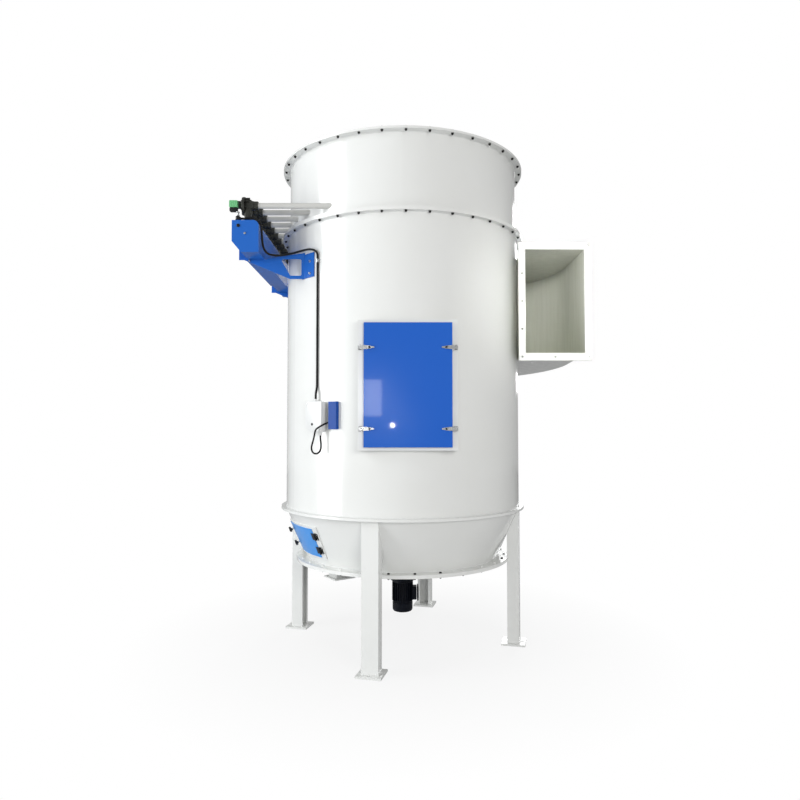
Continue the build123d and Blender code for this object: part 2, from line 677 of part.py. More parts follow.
def make_console():
    """Two cradle arms with curved feet on the shell, and the shelf between them."""
    wall_x = -sqrt(BODY_R ** 2 - ARM_Y ** 2)
    foot_z = header_base - ARM_DEPTH
    knee_x = wall_x - ARM_KNEE
    outline = Polyline((header_outer_x, 0, header_base - ARM_TAB_DROP),
                       (header_outer_x, 0, header_base + HEADER_CHAMFER_Z),
                       (header_outer_x + HEADER_CHAMFER_X, 0, header_base),
                       (header_inner_x + ARM_NECK, 0, header_base),
                       (wall_x - ARM_SHOULDER, 0, header_base + ARM_SHOULDER_RISE),
                       (wall_x, 0, header_base + ARM_RISE), (wall_x + CUT_PAST, 0, header_base + ARM_RISE),
                       (wall_x + CUT_PAST, 0, foot_z), (knee_x, 0, foot_z),
                       (header_outer_x + ARM_TAB_WIDTH, 0, header_base - ARM_TAB_DROP), close=True)
    eye = FilletPolyline((wall_x - EYE_TOP_REACH, 0, header_base + EYE_RISE),
                         (wall_x - EYE_MARGIN, 0, header_base + EYE_RISE),
                         (wall_x - EYE_MARGIN, 0, header_base - EYE_DROP),
                         (wall_x - EYE_BASE_REACH, 0, header_base - EYE_DROP),
                         radius=EYE_CORNER_R, close=True)
    web = extrude(make_face(outline), amount=ARM_THICK / 2, dir=(0, 1, 0), both=True)
    web -= extrude(make_face(eye), amount=ARM_THICK, dir=(0, 1, 0), both=True)
    azimuth = -degrees(acos(ARM_Y / BODY_R))
    pad = band(BODY_R + FIT_GAP, BODY_R + ARM_THICK, foot_z, header_base + ARM_RISE - PAD_DROP,
               azimuth - PAD_BACK, azimuth + PAD_FRONT)
    front = main_part(off_shell(Pos(0, -ARM_Y, 0) * web) + pad)
    save("console_arms", front, mirror(front, about=Plane.XZ))
    near_y = ARM_THICK / 2 - ARM_Y
    save("console_shelf", block((header_outer_x + SHELF_INSET, header_inner_x),
                                (near_y, near_y + SHELF_LENGTH), (header_base - SHELF_THICK, header_base)))


def make_fitting():
    """Supply fitting on the header's near end, with the gland that the lead leaves."""
    x = header_outer_x + FITTING_INSET
    y = FITTING_SET_IN - header_length / 2
    foot_top = header_top + GLAND_FOOT_HEIGHT
    elbow_top = foot_top + ELBOW_HEIGHT
    foot = block(middle(x, GLAND_FOOT), middle(y, GLAND_FOOT), (header_top, foot_top))
    nose = Cylinder(LEAD_R + GLAND_WALL, GLAND_FOOT_NOSE, rotation=(0, 90, 0))
    foot += Pos(x + (GLAND_FOOT + GLAND_FOOT_NOSE) / 2, y, header_top + GLAND_NOSE_RISE) * nose
    save("header_gland", foot)
    save("supply_elbow", Pos(x, y, (foot_top + elbow_top) / 2) * Cylinder(ELBOW_R, ELBOW_HEIGHT))
    save("supply_cap", block(middle(x - CAP_SHIFT, CAP_WIDTH), middle(y, CAP_LENGTH),
                             (elbow_top, elbow_top + CAP_HEIGHT)))


def make_control_box():
    """Control box on a stand-off beside a short channel, with the glands of its leads."""
    base = BODY_BASE_Z + BOX_RISE
    top = base + BOX_HEIGHT
    back_y = -(BODY_R + BOX_STANDOFF)
    box = block(middle(0, BOX_WIDTH), (back_y - BOX_DEPTH, back_y), (base, top))
    low_edge = box.edges().filter_by(Axis.Y).sort_by(lambda edge: edge.center().X + edge.center().Z)[0]
    box = fillet(low_edge, BOX_CORNER_R)
    foot = block(middle(0, BOX_WIDTH / 2), (back_y, -BODY_R + CUT_PAST),
                 (base + BOX_FOOT_MARGIN, top - BOX_FOOT_MARGIN))
    save("control_box", at_azimuth(box + main_part(off_shell(foot)), BOX_AZIMUTH))

    upper = Pos(UPPER_GLAND_X, back_y - UPPER_GLAND_DEPTH, top + UPPER_GLAND_HEIGHT / 2) * Cylinder(
        BOX_GLAND_R, UPPER_GLAND_HEIGHT)
    lower = Pos(LOWER_GLAND_X, back_y - LOWER_GLAND_DEPTH, base - LOWER_GLAND_HEIGHT / 2) * Cylinder(
        BOX_GLAND_R, LOWER_GLAND_HEIGHT)
    save("box_glands", at_azimuth(upper, BOX_AZIMUTH), at_azimuth(lower, BOX_AZIMUTH))

    rail_top = top - RAIL_DROP
    face_y = -(BODY_R + RAIL_DEPTH)
    rail = block(middle(0, RAIL_WIDTH), (face_y, face_y + RAIL_DEPTH + CUT_PAST),
                 (rail_top - RAIL_HEIGHT, rail_top))
    rail -= block((-RAIL_WIDTH, RAIL_WIDTH / 2 - RAIL_WALL), (face_y + RAIL_WALL, 0),
                  (base - CUT_PAST, top + CUT_PAST))
    flange_x = RAIL_WIDTH / 2 - RAIL_WALL
    block_z = rail_top - RAIL_HEIGHT + RAIL_BLOCK_RISE
    rail += block((flange_x - RAIL_BLOCK_LENGTH, flange_x), (face_y + RAIL_WALL, -BODY_R),
                  (block_z, block_z + RAIL_BLOCK_SIDE))
    save("control_rail", main_part(at_azimuth(off_shell(rail), RAIL_AZIMUTH)))


def cord(name, points, radius):
    """Tube of straight runs joined by arcs, each as large as its two runs allow."""
    route = [Vector(*point) for point in points]
    runs = [b - a for a, b in zip(route, route[1:])]
    radii = []
    for before, after in zip(runs, runs[1:]):
        half_turn = radians(before.get_angle(after)) / 2
        radii.append(ARC_SHARE * min(before.length, after.length) / tan(half_turn))
    path = FilletPolyline(*route, radius=radii)
    tube = sweep(Plane(origin=path @ 0, z_dir=path % 0) * Circle(radius), path=path)
    print(name, "length", round(path.length), "least radius", round(min(radii), 1),
          "volume ratio", round(tube.volume / (pi * radius ** 2 * path.length), 4))
    print(name, "radii", [round(value) for value in radii])
    save(name, tube)


def make_leads():
    """Clipped lead from the header to the box, its clip, and the loop under the box."""
    cord("header_lead", HEADER_LEAD, LEAD_R)
    cord("control_lead", CONTROL_LEAD, LOOP_R)
    clip_z = body_top - CLIP_DROP
    strap = block(middle(0, CLIP_WIDTH), (-BODY_R - CLIP_THICK, -BODY_R + CUT_PAST),
                  (clip_z, clip_z + CLIP_HEIGHT))
    strap -= Pos(0, -BODY_R - CLIP_HOLE_OUT, clip_z) * Cylinder(LEAD_R + CLIP_GAP, 4 * CLIP_HEIGHT)
    save("lead_clip", main_part(at_azimuth(off_shell(strap), LEAD_AZIMUTH)))


def make_motor():
    """Gear motor hung under the hopper's bottom, with its terminal box."""
    motor_top = bottom_plate_base - MOTOR_DROP
    motor_base = motor_top - MOTOR_HEIGHT
    gearbox = band(0, GEARBOX_R, motor_top, bottom_plate_base)
    gearbox += band(0, GEARBOX_FLANGE_R, bottom_plate_base - GEARBOX_FLANGE_THICK, bottom_plate_base)
    gearbox += band(0, MOTOR_FLANGE_R, motor_top, motor_top + MOTOR_FLANGE_THICK)
    save("gearbox", gearbox)
    motor = band(0, MOTOR_R, motor_base, motor_top)
    save("motor", fillet(motor.edges().group_by(Axis.Z)[0], MOTOR_EDGE_R))
    box_base = motor_base + TERMINAL_RISE
    terminal = block((0, MOTOR_R + TERMINAL_REACH), middle(0, TERMINAL_WIDTH),
                     (box_base, box_base + TERMINAL_HEIGHT))
    terminal -= band(0, MOTOR_R, motor_base, motor_top)
    save("terminal_box", main_part(terminal))


spout_r = hopper_foot_r - SPOUT_INSET


def spout_column(side, base, top):
    """Square column of the dust spout, turned to face the axis."""
    return at_azimuth(block(middle(0, side), middle(-spout_r, side), (base, top)), SPOUT_AZIMUTH)


def make_spout():
    """Square dust spout with a bolted flange."""
    spout_base = bottom_plate_base - SPOUT_LENGTH
    spout = spout_column(SPOUT_SIDE, spout_base, bottom_plate_base)
    spout += spout_column(SPOUT_SIDE + 2 * SPOUT_FLANGE_REACH, spout_base,
                          spout_base + SPOUT_FLANGE_THICK)
    spout -= spout_column(SPOUT_SIDE - 2 * SPOUT_WALL, spout_base - CUT_PAST, bottom_plate_top)
    hole_at = (SPOUT_SIDE + SPOUT_FLANGE_REACH) / 2
    for across in (-1, 1):
        for outward in (-1, 1):
            hole = Pos(across * hole_at, -spout_r + outward * hole_at, spout_base) * Cylinder(
                SPOUT_HOLE_R, 4 * SPOUT_FLANGE_THICK)
            spout -= at_azimuth(hole, SPOUT_AZIMUTH)
    save("dust_spout", spout)


make_body()
make_chamber()
make_hopper()
make_legs()
make_door()
make_hatch()
make_inlet()
make_header()
make_console()
make_fitting()
make_control_box()
make_leads()
make_motor()
make_spout()
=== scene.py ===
"""Looks of the round pulse-jet dust collector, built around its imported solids. Metres, +Z up."""
import json
import math

import bmesh
import bpy
from mathutils import Matrix, Vector


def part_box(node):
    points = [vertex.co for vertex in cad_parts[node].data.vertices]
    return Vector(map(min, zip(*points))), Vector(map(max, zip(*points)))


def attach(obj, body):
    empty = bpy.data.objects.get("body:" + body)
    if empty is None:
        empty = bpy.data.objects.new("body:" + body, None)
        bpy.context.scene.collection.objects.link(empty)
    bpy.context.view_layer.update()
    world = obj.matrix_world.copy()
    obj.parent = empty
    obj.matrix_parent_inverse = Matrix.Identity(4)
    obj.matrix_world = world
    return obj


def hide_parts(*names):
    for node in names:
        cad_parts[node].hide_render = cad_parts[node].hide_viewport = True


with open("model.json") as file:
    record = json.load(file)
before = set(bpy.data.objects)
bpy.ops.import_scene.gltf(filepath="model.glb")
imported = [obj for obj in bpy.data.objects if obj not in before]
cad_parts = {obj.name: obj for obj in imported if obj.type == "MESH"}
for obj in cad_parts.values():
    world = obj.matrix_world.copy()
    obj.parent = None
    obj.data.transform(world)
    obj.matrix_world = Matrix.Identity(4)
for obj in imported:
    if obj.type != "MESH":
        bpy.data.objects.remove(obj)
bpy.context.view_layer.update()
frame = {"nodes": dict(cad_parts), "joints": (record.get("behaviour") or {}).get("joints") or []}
nodes = frame["nodes"]
scene = bpy.context.scene

# The camera stands where the photographer stood: a little over four metres in front, at chest
# height, tipped up by two degrees. The focal length is in pixels of an 800-pixel frame.
FRAME_PIXELS = 800
FOCAL_PIXELS = 649.3
AXIS_PIXEL_X = 402.6
LENS_PLACE = (0, -4.388, 1.395)
TIP_UP = 2.17

camera_data = bpy.data.cameras.new("camera")
camera_data.lens = FOCAL_PIXELS / FRAME_PIXELS * camera_data.sensor_width
camera_data.shift_x = (FRAME_PIXELS / 2 - AXIS_PIXEL_X) / FRAME_PIXELS
camera = bpy.data.objects.new("camera", camera_data)
camera.location = LENS_PLACE
camera.rotation_euler = (math.radians(90 + TIP_UP), 0, 0)
scene.collection.objects.link(camera)
scene.camera = camera


# The control lead is a limp rubber-sheathed cord of ten millimetres. It leaves the block in the
# blue channel, droops in one long loop and comes back up into the gland under the control box.
class Wire:
    """One output in a node tree. Arithmetic on it adds Math nodes, and node() adds any other."""

    def __init__(self, tree, socket=None):
        self.tree = tree
        self.socket = socket

    def node(self, kind, settings=(), sockets=(), output=0):
        made = self.tree.nodes.new(kind)
        for key, value in dict(settings).items():
            if key == "stops":
                stops = made.color_ramp.elements
                while len(stops) < len(value):
                    stops.new(1.0)
                for stop, (place, shade) in zip(stops, value):
                    stop.position = place
                    stop.color = (shade, shade, shade, 1)
            else:
                setattr(made, key, value)
        for key, value in dict(sockets).items():
            if isinstance(value, Wire):
                self.tree.links.new(value.socket, made.inputs[key])
            else:
                made.inputs[key].default_value = value
        return Wire(self.tree, made.outputs[output])

    def maths(self, operation, first, second):
        return self.node("ShaderNodeMath", {"operation": operation}, {0: first, 1: second})

    def __add__(self, other):
        return self.maths("ADD", self, other)

    def __sub__(self, other):
        return self.maths("SUBTRACT", self, other)

    def __rsub__(self, other):
        return self.maths("SUBTRACT", other, self)

    def __mul__(self, other):
        return self.maths("MULTIPLY", self, other)

    def __gt__(self, other):
        return self.maths("GREATER_THAN", self, other)

    __radd__ = __add__
    __rmul__ = __mul__


def surface(name, constants):
    """New material with its shader's constants set, a wire to build from and the object's coordinates."""
    material = bpy.data.materials.new(name)
    material.use_nodes = True
    tree = material.node_tree
    shader = tree.nodes["Principled BSDF"]
    for key, value in constants.items():
        shader.inputs[key].default_value = value
    wire = Wire(tree)
    return material, wire, wire.node("ShaderNodeTexCoord", output="Object")


def feed(material, **wires):
    """Links wires into the material's shader: Base_Color is the socket Base Color."""
    shader = material.node_tree.nodes["Principled BSDF"]
    for key, wire in wires.items():
        material.node_tree.links.new(wire.socket, shader.inputs[key.replace("_", " ")])


def noise(wire, place, scale, detail=2.0, rough=0.5):
    """Cloudy value about one half, with features of about 1 / scale metres."""
    return wire.node("ShaderNodeTexNoise", {},
                     {"Vector": place, "Scale": scale, "Detail": detail, "Roughness": rough})


def ramp(wire, value, *stops):
    """Value from 0 to 1 through stops of (place, shade)."""
    return wire.node("ShaderNodeValToRGB", {"stops": stops}, {"Fac": value})


def blend(wire, mask, first, second):
    """Colour that goes from first to second with the mask."""
    colours = {key: value if isinstance(value, Wire) else (*value, 1)
               for key, value in ((6, first), (7, second))}
    return wire.node("ShaderNodeMix", {"data_type": "RGBA"}, {0: mask, **colours}, output=2)


def bump(wire, height, distance, strength=1.0, **under):
    """Surface relief of a height in metres."""
    return wire.node("ShaderNodeBump", {},
                     {"Height": height, "Distance": distance, "Strength": strength, **under})


def rubber_sheath(name, colour, roughness):
    """Extruded rubber: fine grain, and dust that dulls it in patches."""
    material, wire, place = surface(name, {"Specular IOR Level": 0.25})
    dust = noise(wire, place, 38, 3)
    feed(material, Base_Color=blend(wire, dust * 0.2, colour, [0.03 + value for value in colour]),
         Roughness=dust * 0.16 + (roughness - 0.08),
         Normal=bump(wire, noise(wire, place, 900, 2), 0.0003, 0.4))
    return material


SHEATH_BLACK = (0.004, 0.004, 0.005)
LOOP_RADIUS = 0.005
LOOP_POINTS = (
    (-0.3914, -0.6748, 1.412), (-0.4115, -0.663, 1.412), (-0.437, -0.655, 1.404), (-0.455, -0.676, 1.394),
    (-0.478, -0.684, 1.380), (-0.5006, -0.661, 1.366), (-0.507, -0.662, 1.326), (-0.516, -0.662, 1.290),
    (-0.522, -0.661, 1.270), (-0.522, -0.660, 1.252), (-0.516, -0.659, 1.236), (-0.502, -0.657, 1.2275),
    (-0.486, -0.654, 1.230), (-0.474, -0.652, 1.242), (-0.469, -0.650, 1.262), (-0.469, -0.648, 1.288),
    (-0.473, -0.647, 1.312), (-0.473, -0.647, 1.333),
)

sheath = rubber_sheath("rubber_sheath", SHEATH_BLACK, 0.42)


def cord_curve(name, points, radius):
    """Round cord along a smooth line that has the route's points as its control points."""
    curve = bpy.data.curves.new(name, "CURVE")
    curve.dimensions = "3D"
    line = curve.splines.new("NURBS")
    line.points.add(len(points) - 1)
    for point, place in zip(line.points, points):
        point.co = (*place, 1)
    line.order_u = 3
    line.use_endpoint_u = True
    line.resolution_u = 12
    curve.bevel_depth = radius
    curve.bevel_resolution = 5
    curve.use_fill_caps = True
    curve.materials.append(sheath)
    made = bpy.data.objects.new(name, curve)
    scene.collection.objects.link(made)
    return made


loop = cord_curve("control_loop", LOOP_POINTS, LOOP_RADIUS)
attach(loop, "filter")
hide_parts("control_lead")


# The header lead is the same sheath at thirteen millimetres. It is clipped to the shell and pulled
# straight below the clip, so the solid already has its whole route and only takes the rubber.
def finish_node(name, material):
    """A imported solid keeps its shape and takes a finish."""
    mesh = nodes[name].data
    mesh.materials.clear()
    mesh.materials.append(material)


finish_node("header_lead", sheath)


# The body is four rolled plates of four-millimetre steel sheet, butt welded and sprayed with gloss
# white enamel. The sheet keeps a slow wave from the rolls, and the paint a fine orange peel.
def enamel(name, colour, shade, roughness=0.16, wave=0.006, dust=0.5, gloss=0.5):
    """Sprayed gloss enamel. The shade is the colour of its thin and dusty places."""
    material, wire, place = surface(name, {"Specular IOR Level": gloss, "Coat Roughness": 0.04})
    cloud = ramp(wire, noise(wire, place, 1.7, 4, 0.6), (0.35, 0.0), (0.75, 1.0))
    speck = ramp(wire, noise(wire, place, 60, 3, 0.6), (0.62, 0.0), (0.8, 1.0))
    facing = wire.node("ShaderNodeNewGeometry", output="Normal")
    upward = wire.node("ShaderNodeSeparateXYZ", {}, {0: facing}, output="Z")
    ledge = ramp(wire, upward, (0.6, 0.0), (0.95, 1.0)) * noise(wire, place, 9, 4)
    soiled = cloud * (0.35 * dust) + speck * (0.25 * dust) + ledge * dust
    sheet = wire.node("ShaderNodeMapping", {}, {"Vector": place, "Scale": (1, 1, 0.45)})
    rolled = bump(wire, noise(wire, sheet, 2.6, 1), wave)
    peel = bump(wire, noise(wire, place, 170, 1), 0.00012, 0.6, Normal=rolled)
    feed(material, Base_Color=blend(wire, soiled, colour, shade),
         Roughness=cloud * 0.06 + ledge * 0.25 + roughness,
         Coat_Weight=gloss - ledge * (0.8 * gloss), Normal=peel)
    return material


WHITE = (0.79, 0.80, 0.79)
WHITE_DUSTY = (0.66, 0.66, 0.62)

white_enamel = enamel("white_enamel", WHITE, WHITE_DUSTY)
for plate in ("body_front", "body_right", "body_rear", "body_left", "chamber_left", "chamber_right",
              "hopper_left", "hopper_right"):
    finish_node(plate, white_enamel)


# Flat rings cut from plate close each length of shell, with the tube sheet between the middle two
# and the roof on the uppermost. M8 bolts every ten degrees pull them together, nuts underneath.
def lathe(bm, outline, place, steps=24):
    """Turned solid from (radius, height) points about the Z axis of a place."""
    rings = []
    for radius, height in outline:
        turns = steps if radius else 1
        rings.append([bm.verts.new(place @ Vector((radius * math.cos(math.tau * k / steps),
                                                   radius * math.sin(math.tau * k / steps), height)))
                      for k in range(turns)])
    for low, high in zip(rings, rings[1:]):
        for k in range(steps):
            corners = (low[k % len(low)], low[(k + 1) % len(low)],
                       high[(k + 1) % len(high)], high[k % len(high)])
            corners = list(dict.fromkeys(corners))
            if len(corners) > 2:
                bm.faces.new(corners)


def facing(place, out):
    """Place whose Z axis points out of a surface."""
    return Matrix.Translation(place) @ Vector(out).to_track_quat("Z", "Y").to_matrix().to_4x4()


def hex_screw(bm, place, across, head, thread=0.0):
    """Washer and hexagon head or nut on a surface, with a stub of thread through it."""
    corner = across / math.sqrt(3)
    washer = across * 0.12
    lathe(bm, [(0, 0), (across * 0.62, 0), (across * 0.62, washer), (0, washer)], place, 20)
    seat = place @ Matrix.Translation((0, 0, washer))
    lathe(bm, [(0, 0), (corner, 0), (corner, head * 0.86), (corner * 0.88, head), (0, head)], seat, 6)
    if thread:
        radius = across * 0.3
        tip = head + thread
        lathe(bm, [(radius, head), (radius, tip - 0.001), (radius - 0.001, tip), (0, tip)], seat, 12)


def made_piece(name, bm, material, body="filter", smooth_below=35):
    """Object from a bmesh, smooth except at its sharp edges, riding on its body."""
    bmesh.ops.recalc_face_normals(bm, faces=bm.faces)
    for face in bm.faces:
        face.smooth = True
    for edge in bm.edges:
        if len(edge.link_faces) == 2 and edge.calc_face_angle() > math.radians(smooth_below):
            edge.smooth = False
    mesh = bpy.data.meshes.new(name)
    bm.to_mesh(mesh)
    bm.free()
    mesh.materials.append(material)
    made = bpy.data.objects.new(name, mesh)
    scene.collection.objects.link(made)
    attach(made, body)
    return made


def around(azimuth, radius, height):
    """Point at an azimuth, counted in degrees from -Y towards +X."""
    turn = math.radians(azimuth)
    return Vector((radius * math.sin(turn), -radius * math.cos(turn), height))


def black_oxide(name, colour, roughness):
    """Oiled black steel, worn grey on its edges and flats."""
    material, wire, place = surface(name, {"Metallic": 0.7})
    worn = ramp(wire, noise(wire, place, 240, 3), (0.5, 0.0), (0.75, 1.0))
    feed(material, Base_Color=blend(wire, worn * 0.6, colour, (0.16, 0.15, 0.14)),
         Roughness=worn * 0.2 + roughness, Normal=bump(wire, noise(wire, place, 1400, 2), 0.0001, 0.5))
    return material


RING_BOLTS = 36
FIRST_BOLT = 1.4
BOLT_INSET = 0.017
M8_ACROSS = 0.013
M8_HEAD = 0.0055
M8_NUT = 0.0068
M8_THREAD = 0.003
WELD_LEG = 0.005
WELD_OUTLINE = ((0, 0), (1, 0), (0.62, 0.35), (0.35, 0.62), (0, 1), (0, 0))

ring_steel = black_oxide("black_oxide", (0.016, 0.016, 0.017), 0.42)
for ring in ("body_base_ring", "body_top_flange", "tube_sheet", "chamber_base_flange",
             "chamber_top_flange", "roof"):
    finish_node(ring, white_enamel)
flange_low, flange_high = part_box("body_top_flange")
bolt_circle = flange_high.x - BOLT_INSET
for ring, under, over in (("middle", "body_top_flange", "chamber_base_flange"),
                          ("upper", "chamber_top_flange", "roof")):
    nut_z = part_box(under)[0].z
    head_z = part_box(over)[1].z
    nuts = bmesh.new()
    heads = bmesh.new()
    for k in range(RING_BOLTS):
        azimuth = FIRST_BOLT + k * 360 / RING_BOLTS
        hex_screw(nuts, facing(around(azimuth, bolt_circle, nut_z), (0, 0, -1)),
                  M8_ACROSS, M8_NUT, M8_THREAD)
        hex_screw(heads, facing(around(azimuth, bolt_circle, head_z), (0, 0, 1)), M8_ACROSS, M8_HEAD)
    made_piece(ring + "_ring_nuts", nuts, ring_steel)
    made_piece(ring + "_ring_heads", heads, white_enamel)


def weld(bm, radius, height, up, steps=240):
    """Fillet weld all round the outside of a shell, on top of a ring or under it."""
    outline = [(radius + WELD_LEG * x, height + up * WELD_LEG * z) for x, z in WELD_OUTLINE]
    lathe(bm, outline, Matrix(), steps)


def weld_bead(name, colour):
    """Painted weld: overlapping ripples under the enamel."""
    material, wire, place = surface(name, {"Roughness": 0.24, "Coat Weight": 0.4})
    soiled = noise(wire, place, 30, 3)
    ripple = noise(wire, place, 420, 2)
    feed(material, Base_Color=blend(wire, soiled * 0.5, colour, [0.8 * value for value in colour]),
         Normal=bump(wire, ripple, 0.0012, 0.8))
    return material


painted_weld = weld_bead("painted_weld", WHITE)
shell_r = -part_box("body_front")[0].y
chamber_r = -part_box("chamber_left")[0].x
seams = bmesh.new()
weld(seams, shell_r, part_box("body_base_ring")[1].z, 1)
weld(seams, shell_r, flange_low.z, -1)
weld(seams, chamber_r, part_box("chamber_base_flange")[1].z, 1)
weld(seams, chamber_r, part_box("chamber_top_flange")[0].z, -1)
made_piece("ring_welds", seams, painted_weld, smooth_below=60)


# The clean air leaves through a rolled collar on the roof. Its flange is drilled for the duct or
# the fan that stands there, and a weld joins it to the roof plate.
OUTLET_R = 0.26
OUTLET_FLANGE = 0.008

finish_node("air_outlet", white_enamel)
collar = bmesh.new()
weld(collar, OUTLET_R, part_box("roof")[1].z, 1, 160)
weld(collar, OUTLET_R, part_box("air_outlet")[1].z - OUTLET_FLANGE, -1, 160)
made_piece("outlet_welds", collar, painted_weld, smooth_below=60)


# The hopper is a steep cone on a foot ring, closed by a flat bottom plate that the scraper runs on.
# Twenty-eight M8 bolts hold the plate, heads up; here and there a black one has replaced a white one.
FOOT_BOLTS = 28
FIRST_FOOT_BOLT = 6.0
FOOT_BOLT_INSET = 0.03
FOOT_RING_REACH = 0.072
BLACK_BOLTS = (0, 1, 27, 5)

for plate in ("hopper_foot_ring", "bottom_plate"):
    finish_node(plate, white_enamel)
foot_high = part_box("hopper_foot_ring")[1]
plate_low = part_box("bottom_plate")[0]
foot_circle = foot_high.x - FOOT_BOLT_INSET
white_heads = bmesh.new()
black_heads = bmesh.new()
plate_nuts = bmesh.new()
for k in range(FOOT_BOLTS):
    azimuth = FIRST_FOOT_BOLT + k * 360 / FOOT_BOLTS
    heads = black_heads if k in BLACK_BOLTS else white_heads
    hex_screw(heads, facing(around(azimuth, foot_circle, foot_high.z), (0, 0, 1)), M8_ACROSS, M8_HEAD)
    hex_screw(plate_nuts, facing(around(azimuth, foot_circle, plate_low.z), (0, 0, -1)),
              M8_ACROSS, M8_NUT, M8_THREAD)
made_piece("foot_ring_white_heads", white_heads, white_enamel)
made_piece("foot_ring_black_heads", black_heads, ring_steel)
made_piece("foot_ring_nuts", plate_nuts, ring_steel)
cone_weld = bmesh.new()
weld(cone_weld, foot_high.x - FOOT_RING_REACH, foot_high.z, 1)
made_piece("hopper_weld", cone_weld, painted_weld, smooth_below=60)


# Four lipped channels of folded sheet carry the machine. Each is welded to the cone and the foot
# ring, and to a square plate that is drilled for one anchor bolt. Two gussets brace the rear leg.
LEG_AZIMUTHS = (-13.7, 76.3, 166.3, 256.3)
REAR_LEG = 2
LEG_OUTER = 0.7715
LEG_WIDTH = 0.100
LEG_WELD = 0.006
LEG_WELD_ROUND = 0.0025
LEG_WELD_LIFT = 0.002
FLANK_WELD = 0.060
FLANK_MIDDLE = 0.036

finish_node("legs", white_enamel)
finish_node("foot_plates", white_enamel)


def block(bm, size, place, radius=0.001, segments=2):
    """Box with rounded edges about a place."""
    made = bmesh.ops.create_cube(bm, size=1, matrix=place @ Matrix.Diagonal((*size, 1)))
    edges = {edge for vert in made["verts"] for edge in vert.link_edges}
    bmesh.ops.bevel(bm, geom=list(edges), offset=radius, segments=segments, affect="EDGES", profile=0.5)


leg_welds = bmesh.new()
weld_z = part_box("foot_plates")[1].z + LEG_WELD_LIFT
for azimuth in LEG_AZIMUTHS:
    turn = Matrix.Rotation(math.radians(azimuth), 4, "Z")
    block(leg_welds, (LEG_WIDTH + LEG_WELD, LEG_WELD, LEG_WELD),
          turn @ Matrix.Translation((0, -LEG_OUTER, weld_z)), LEG_WELD_ROUND, 3)
    for side in (-1, 1):
        flank = turn @ Matrix.Translation((side * LEG_WIDTH / 2, FLANK_MIDDLE - LEG_OUTER, weld_z))
        block(leg_welds, (LEG_WELD, FLANK_WELD, LEG_WELD), flank, LEG_WELD_ROUND, 3)
made_piece("leg_welds", leg_welds, painted_weld)

GUSSET = 0.055
GUSSET_SHEET = 0.005
GUSSET_OUT = 0.700
gussets = bmesh.new()
gusset_top = plate_low.z
turn = Matrix.Rotation(math.radians(LEG_AZIMUTHS[REAR_LEG]), 4, "Z")
for side in (-1, 1):
    near = side * LEG_WIDTH / 2
    corners = ((near, gusset_top), (near + side * GUSSET, gusset_top), (near, gusset_top - GUSSET))
    sides = [[gussets.verts.new(turn @ Vector((x, y, z))) for x, z in corners]
             for y in (-GUSSET_OUT, GUSSET_SHEET - GUSSET_OUT)]
    for plate in sides:
        gussets.faces.new(plate)
    for k in range(3):
        gussets.faces.new((sides[0][k - 1], sides[0][k], sides[1][k], sides[1][k - 1]))
made_piece("leg_gussets", gussets, white_enamel)


# The access door is a lift-off tray of thin sheet in satin blue, pressed against a sponge rubber
# seal on a white welded collar. Four bright zinc toggle latches hold it.
def sponge(name, colour):
    """Closed-cell sponge rubber with a pitted skin."""
    material, wire, place = surface(name, {"Roughness": 0.85})
    cells = noise(wire, place, 700, 2)
    feed(material, Base_Color=blend(wire, cells, colour, (0.05, 0.05, 0.05)),
         Normal=bump(wire, cells, 0.0006, 0.7))
    return material


def plated(name, colour, roughness):
    """Bright zinc plating on pressed steel, with faint grain and dull patches."""
    material, wire, place = surface(name, {"Metallic": 1.0})
    patch = noise(wire, place, 85, 3)
    grain = wire.node("ShaderNodeMapping", {}, {"Vector": place, "Scale": (1, 1, 14)})
    feed(material, Base_Color=blend(wire, patch * 0.6, colour, [0.72 * value for value in colour]),
         Roughness=patch * 0.2 + (roughness - 0.1),
         Normal=bump(wire, noise(wire, grain, 120, 2), 0.00015, 0.4))
    return material


DOOR_BLUE = (0.012, 0.107, 0.52)
DOOR_BLUE_DUSTY = (0.018, 0.125, 0.50)
ZINC = (0.74, 0.75, 0.75)

door_enamel = enamel("door_enamel", DOOR_BLUE, DOOR_BLUE_DUSTY, 0.2, 0.003, 0.5, 0.22)
zinc = plated("bright_zinc", ZINC, 0.28)
finish_node("access_door", door_enamel)
finish_node("door_gasket", sponge("sponge_rubber", (0.02, 0.02, 0.02)))
finish_node("door_frame", white_enamel)

LATCH_BASE = (0.029, 0.026, 0.002)
LEVER_SHAPE = ((0.0, 0.0085), (0.004, 0.011), (0.030, 0.0115), (0.058, 0.0085), (0.078, 0.0048),
               (0.087, 0.0040), (0.090, 0.0015))
LEVER_SHEET = 0.0015
LEVER_RIM = 0.0062
LEVER_ROOT = 0.003
LEVER_NOSE = 0.080
LEVER_LIFT = 0.0187
PIN_X = 0.012


def trough(bm, shape, sheet, rim, place):
    """Pressed lever: a tapering channel with its open side out, from (length, half width) points."""
    outline = [(x, half) for x, half in shape] + [(x, -half) for x, half in reversed(shape)]
    rings = []
    for inset, height in ((0, 0), (0, rim), (sheet, rim), (sheet, sheet)):
        ring = []
        for x, half in outline:
            inward = inset if x < LEVER_ROOT else -inset if x > LEVER_NOSE else 0
            narrowed = half - math.copysign(min(inset, abs(half) * 0.8), half)
            ring.append(bm.verts.new(place @ Vector((x + inward, narrowed, height))))
        rings.append(ring)
    for low, high in zip(rings, rings[1:]):
        for k in range(len(outline)):
            bm.faces.new((low[k - 1], low[k], high[k], high[k - 1]))
    bm.faces.new(rings[0])
    bm.faces.new(list(reversed(rings[-1])))


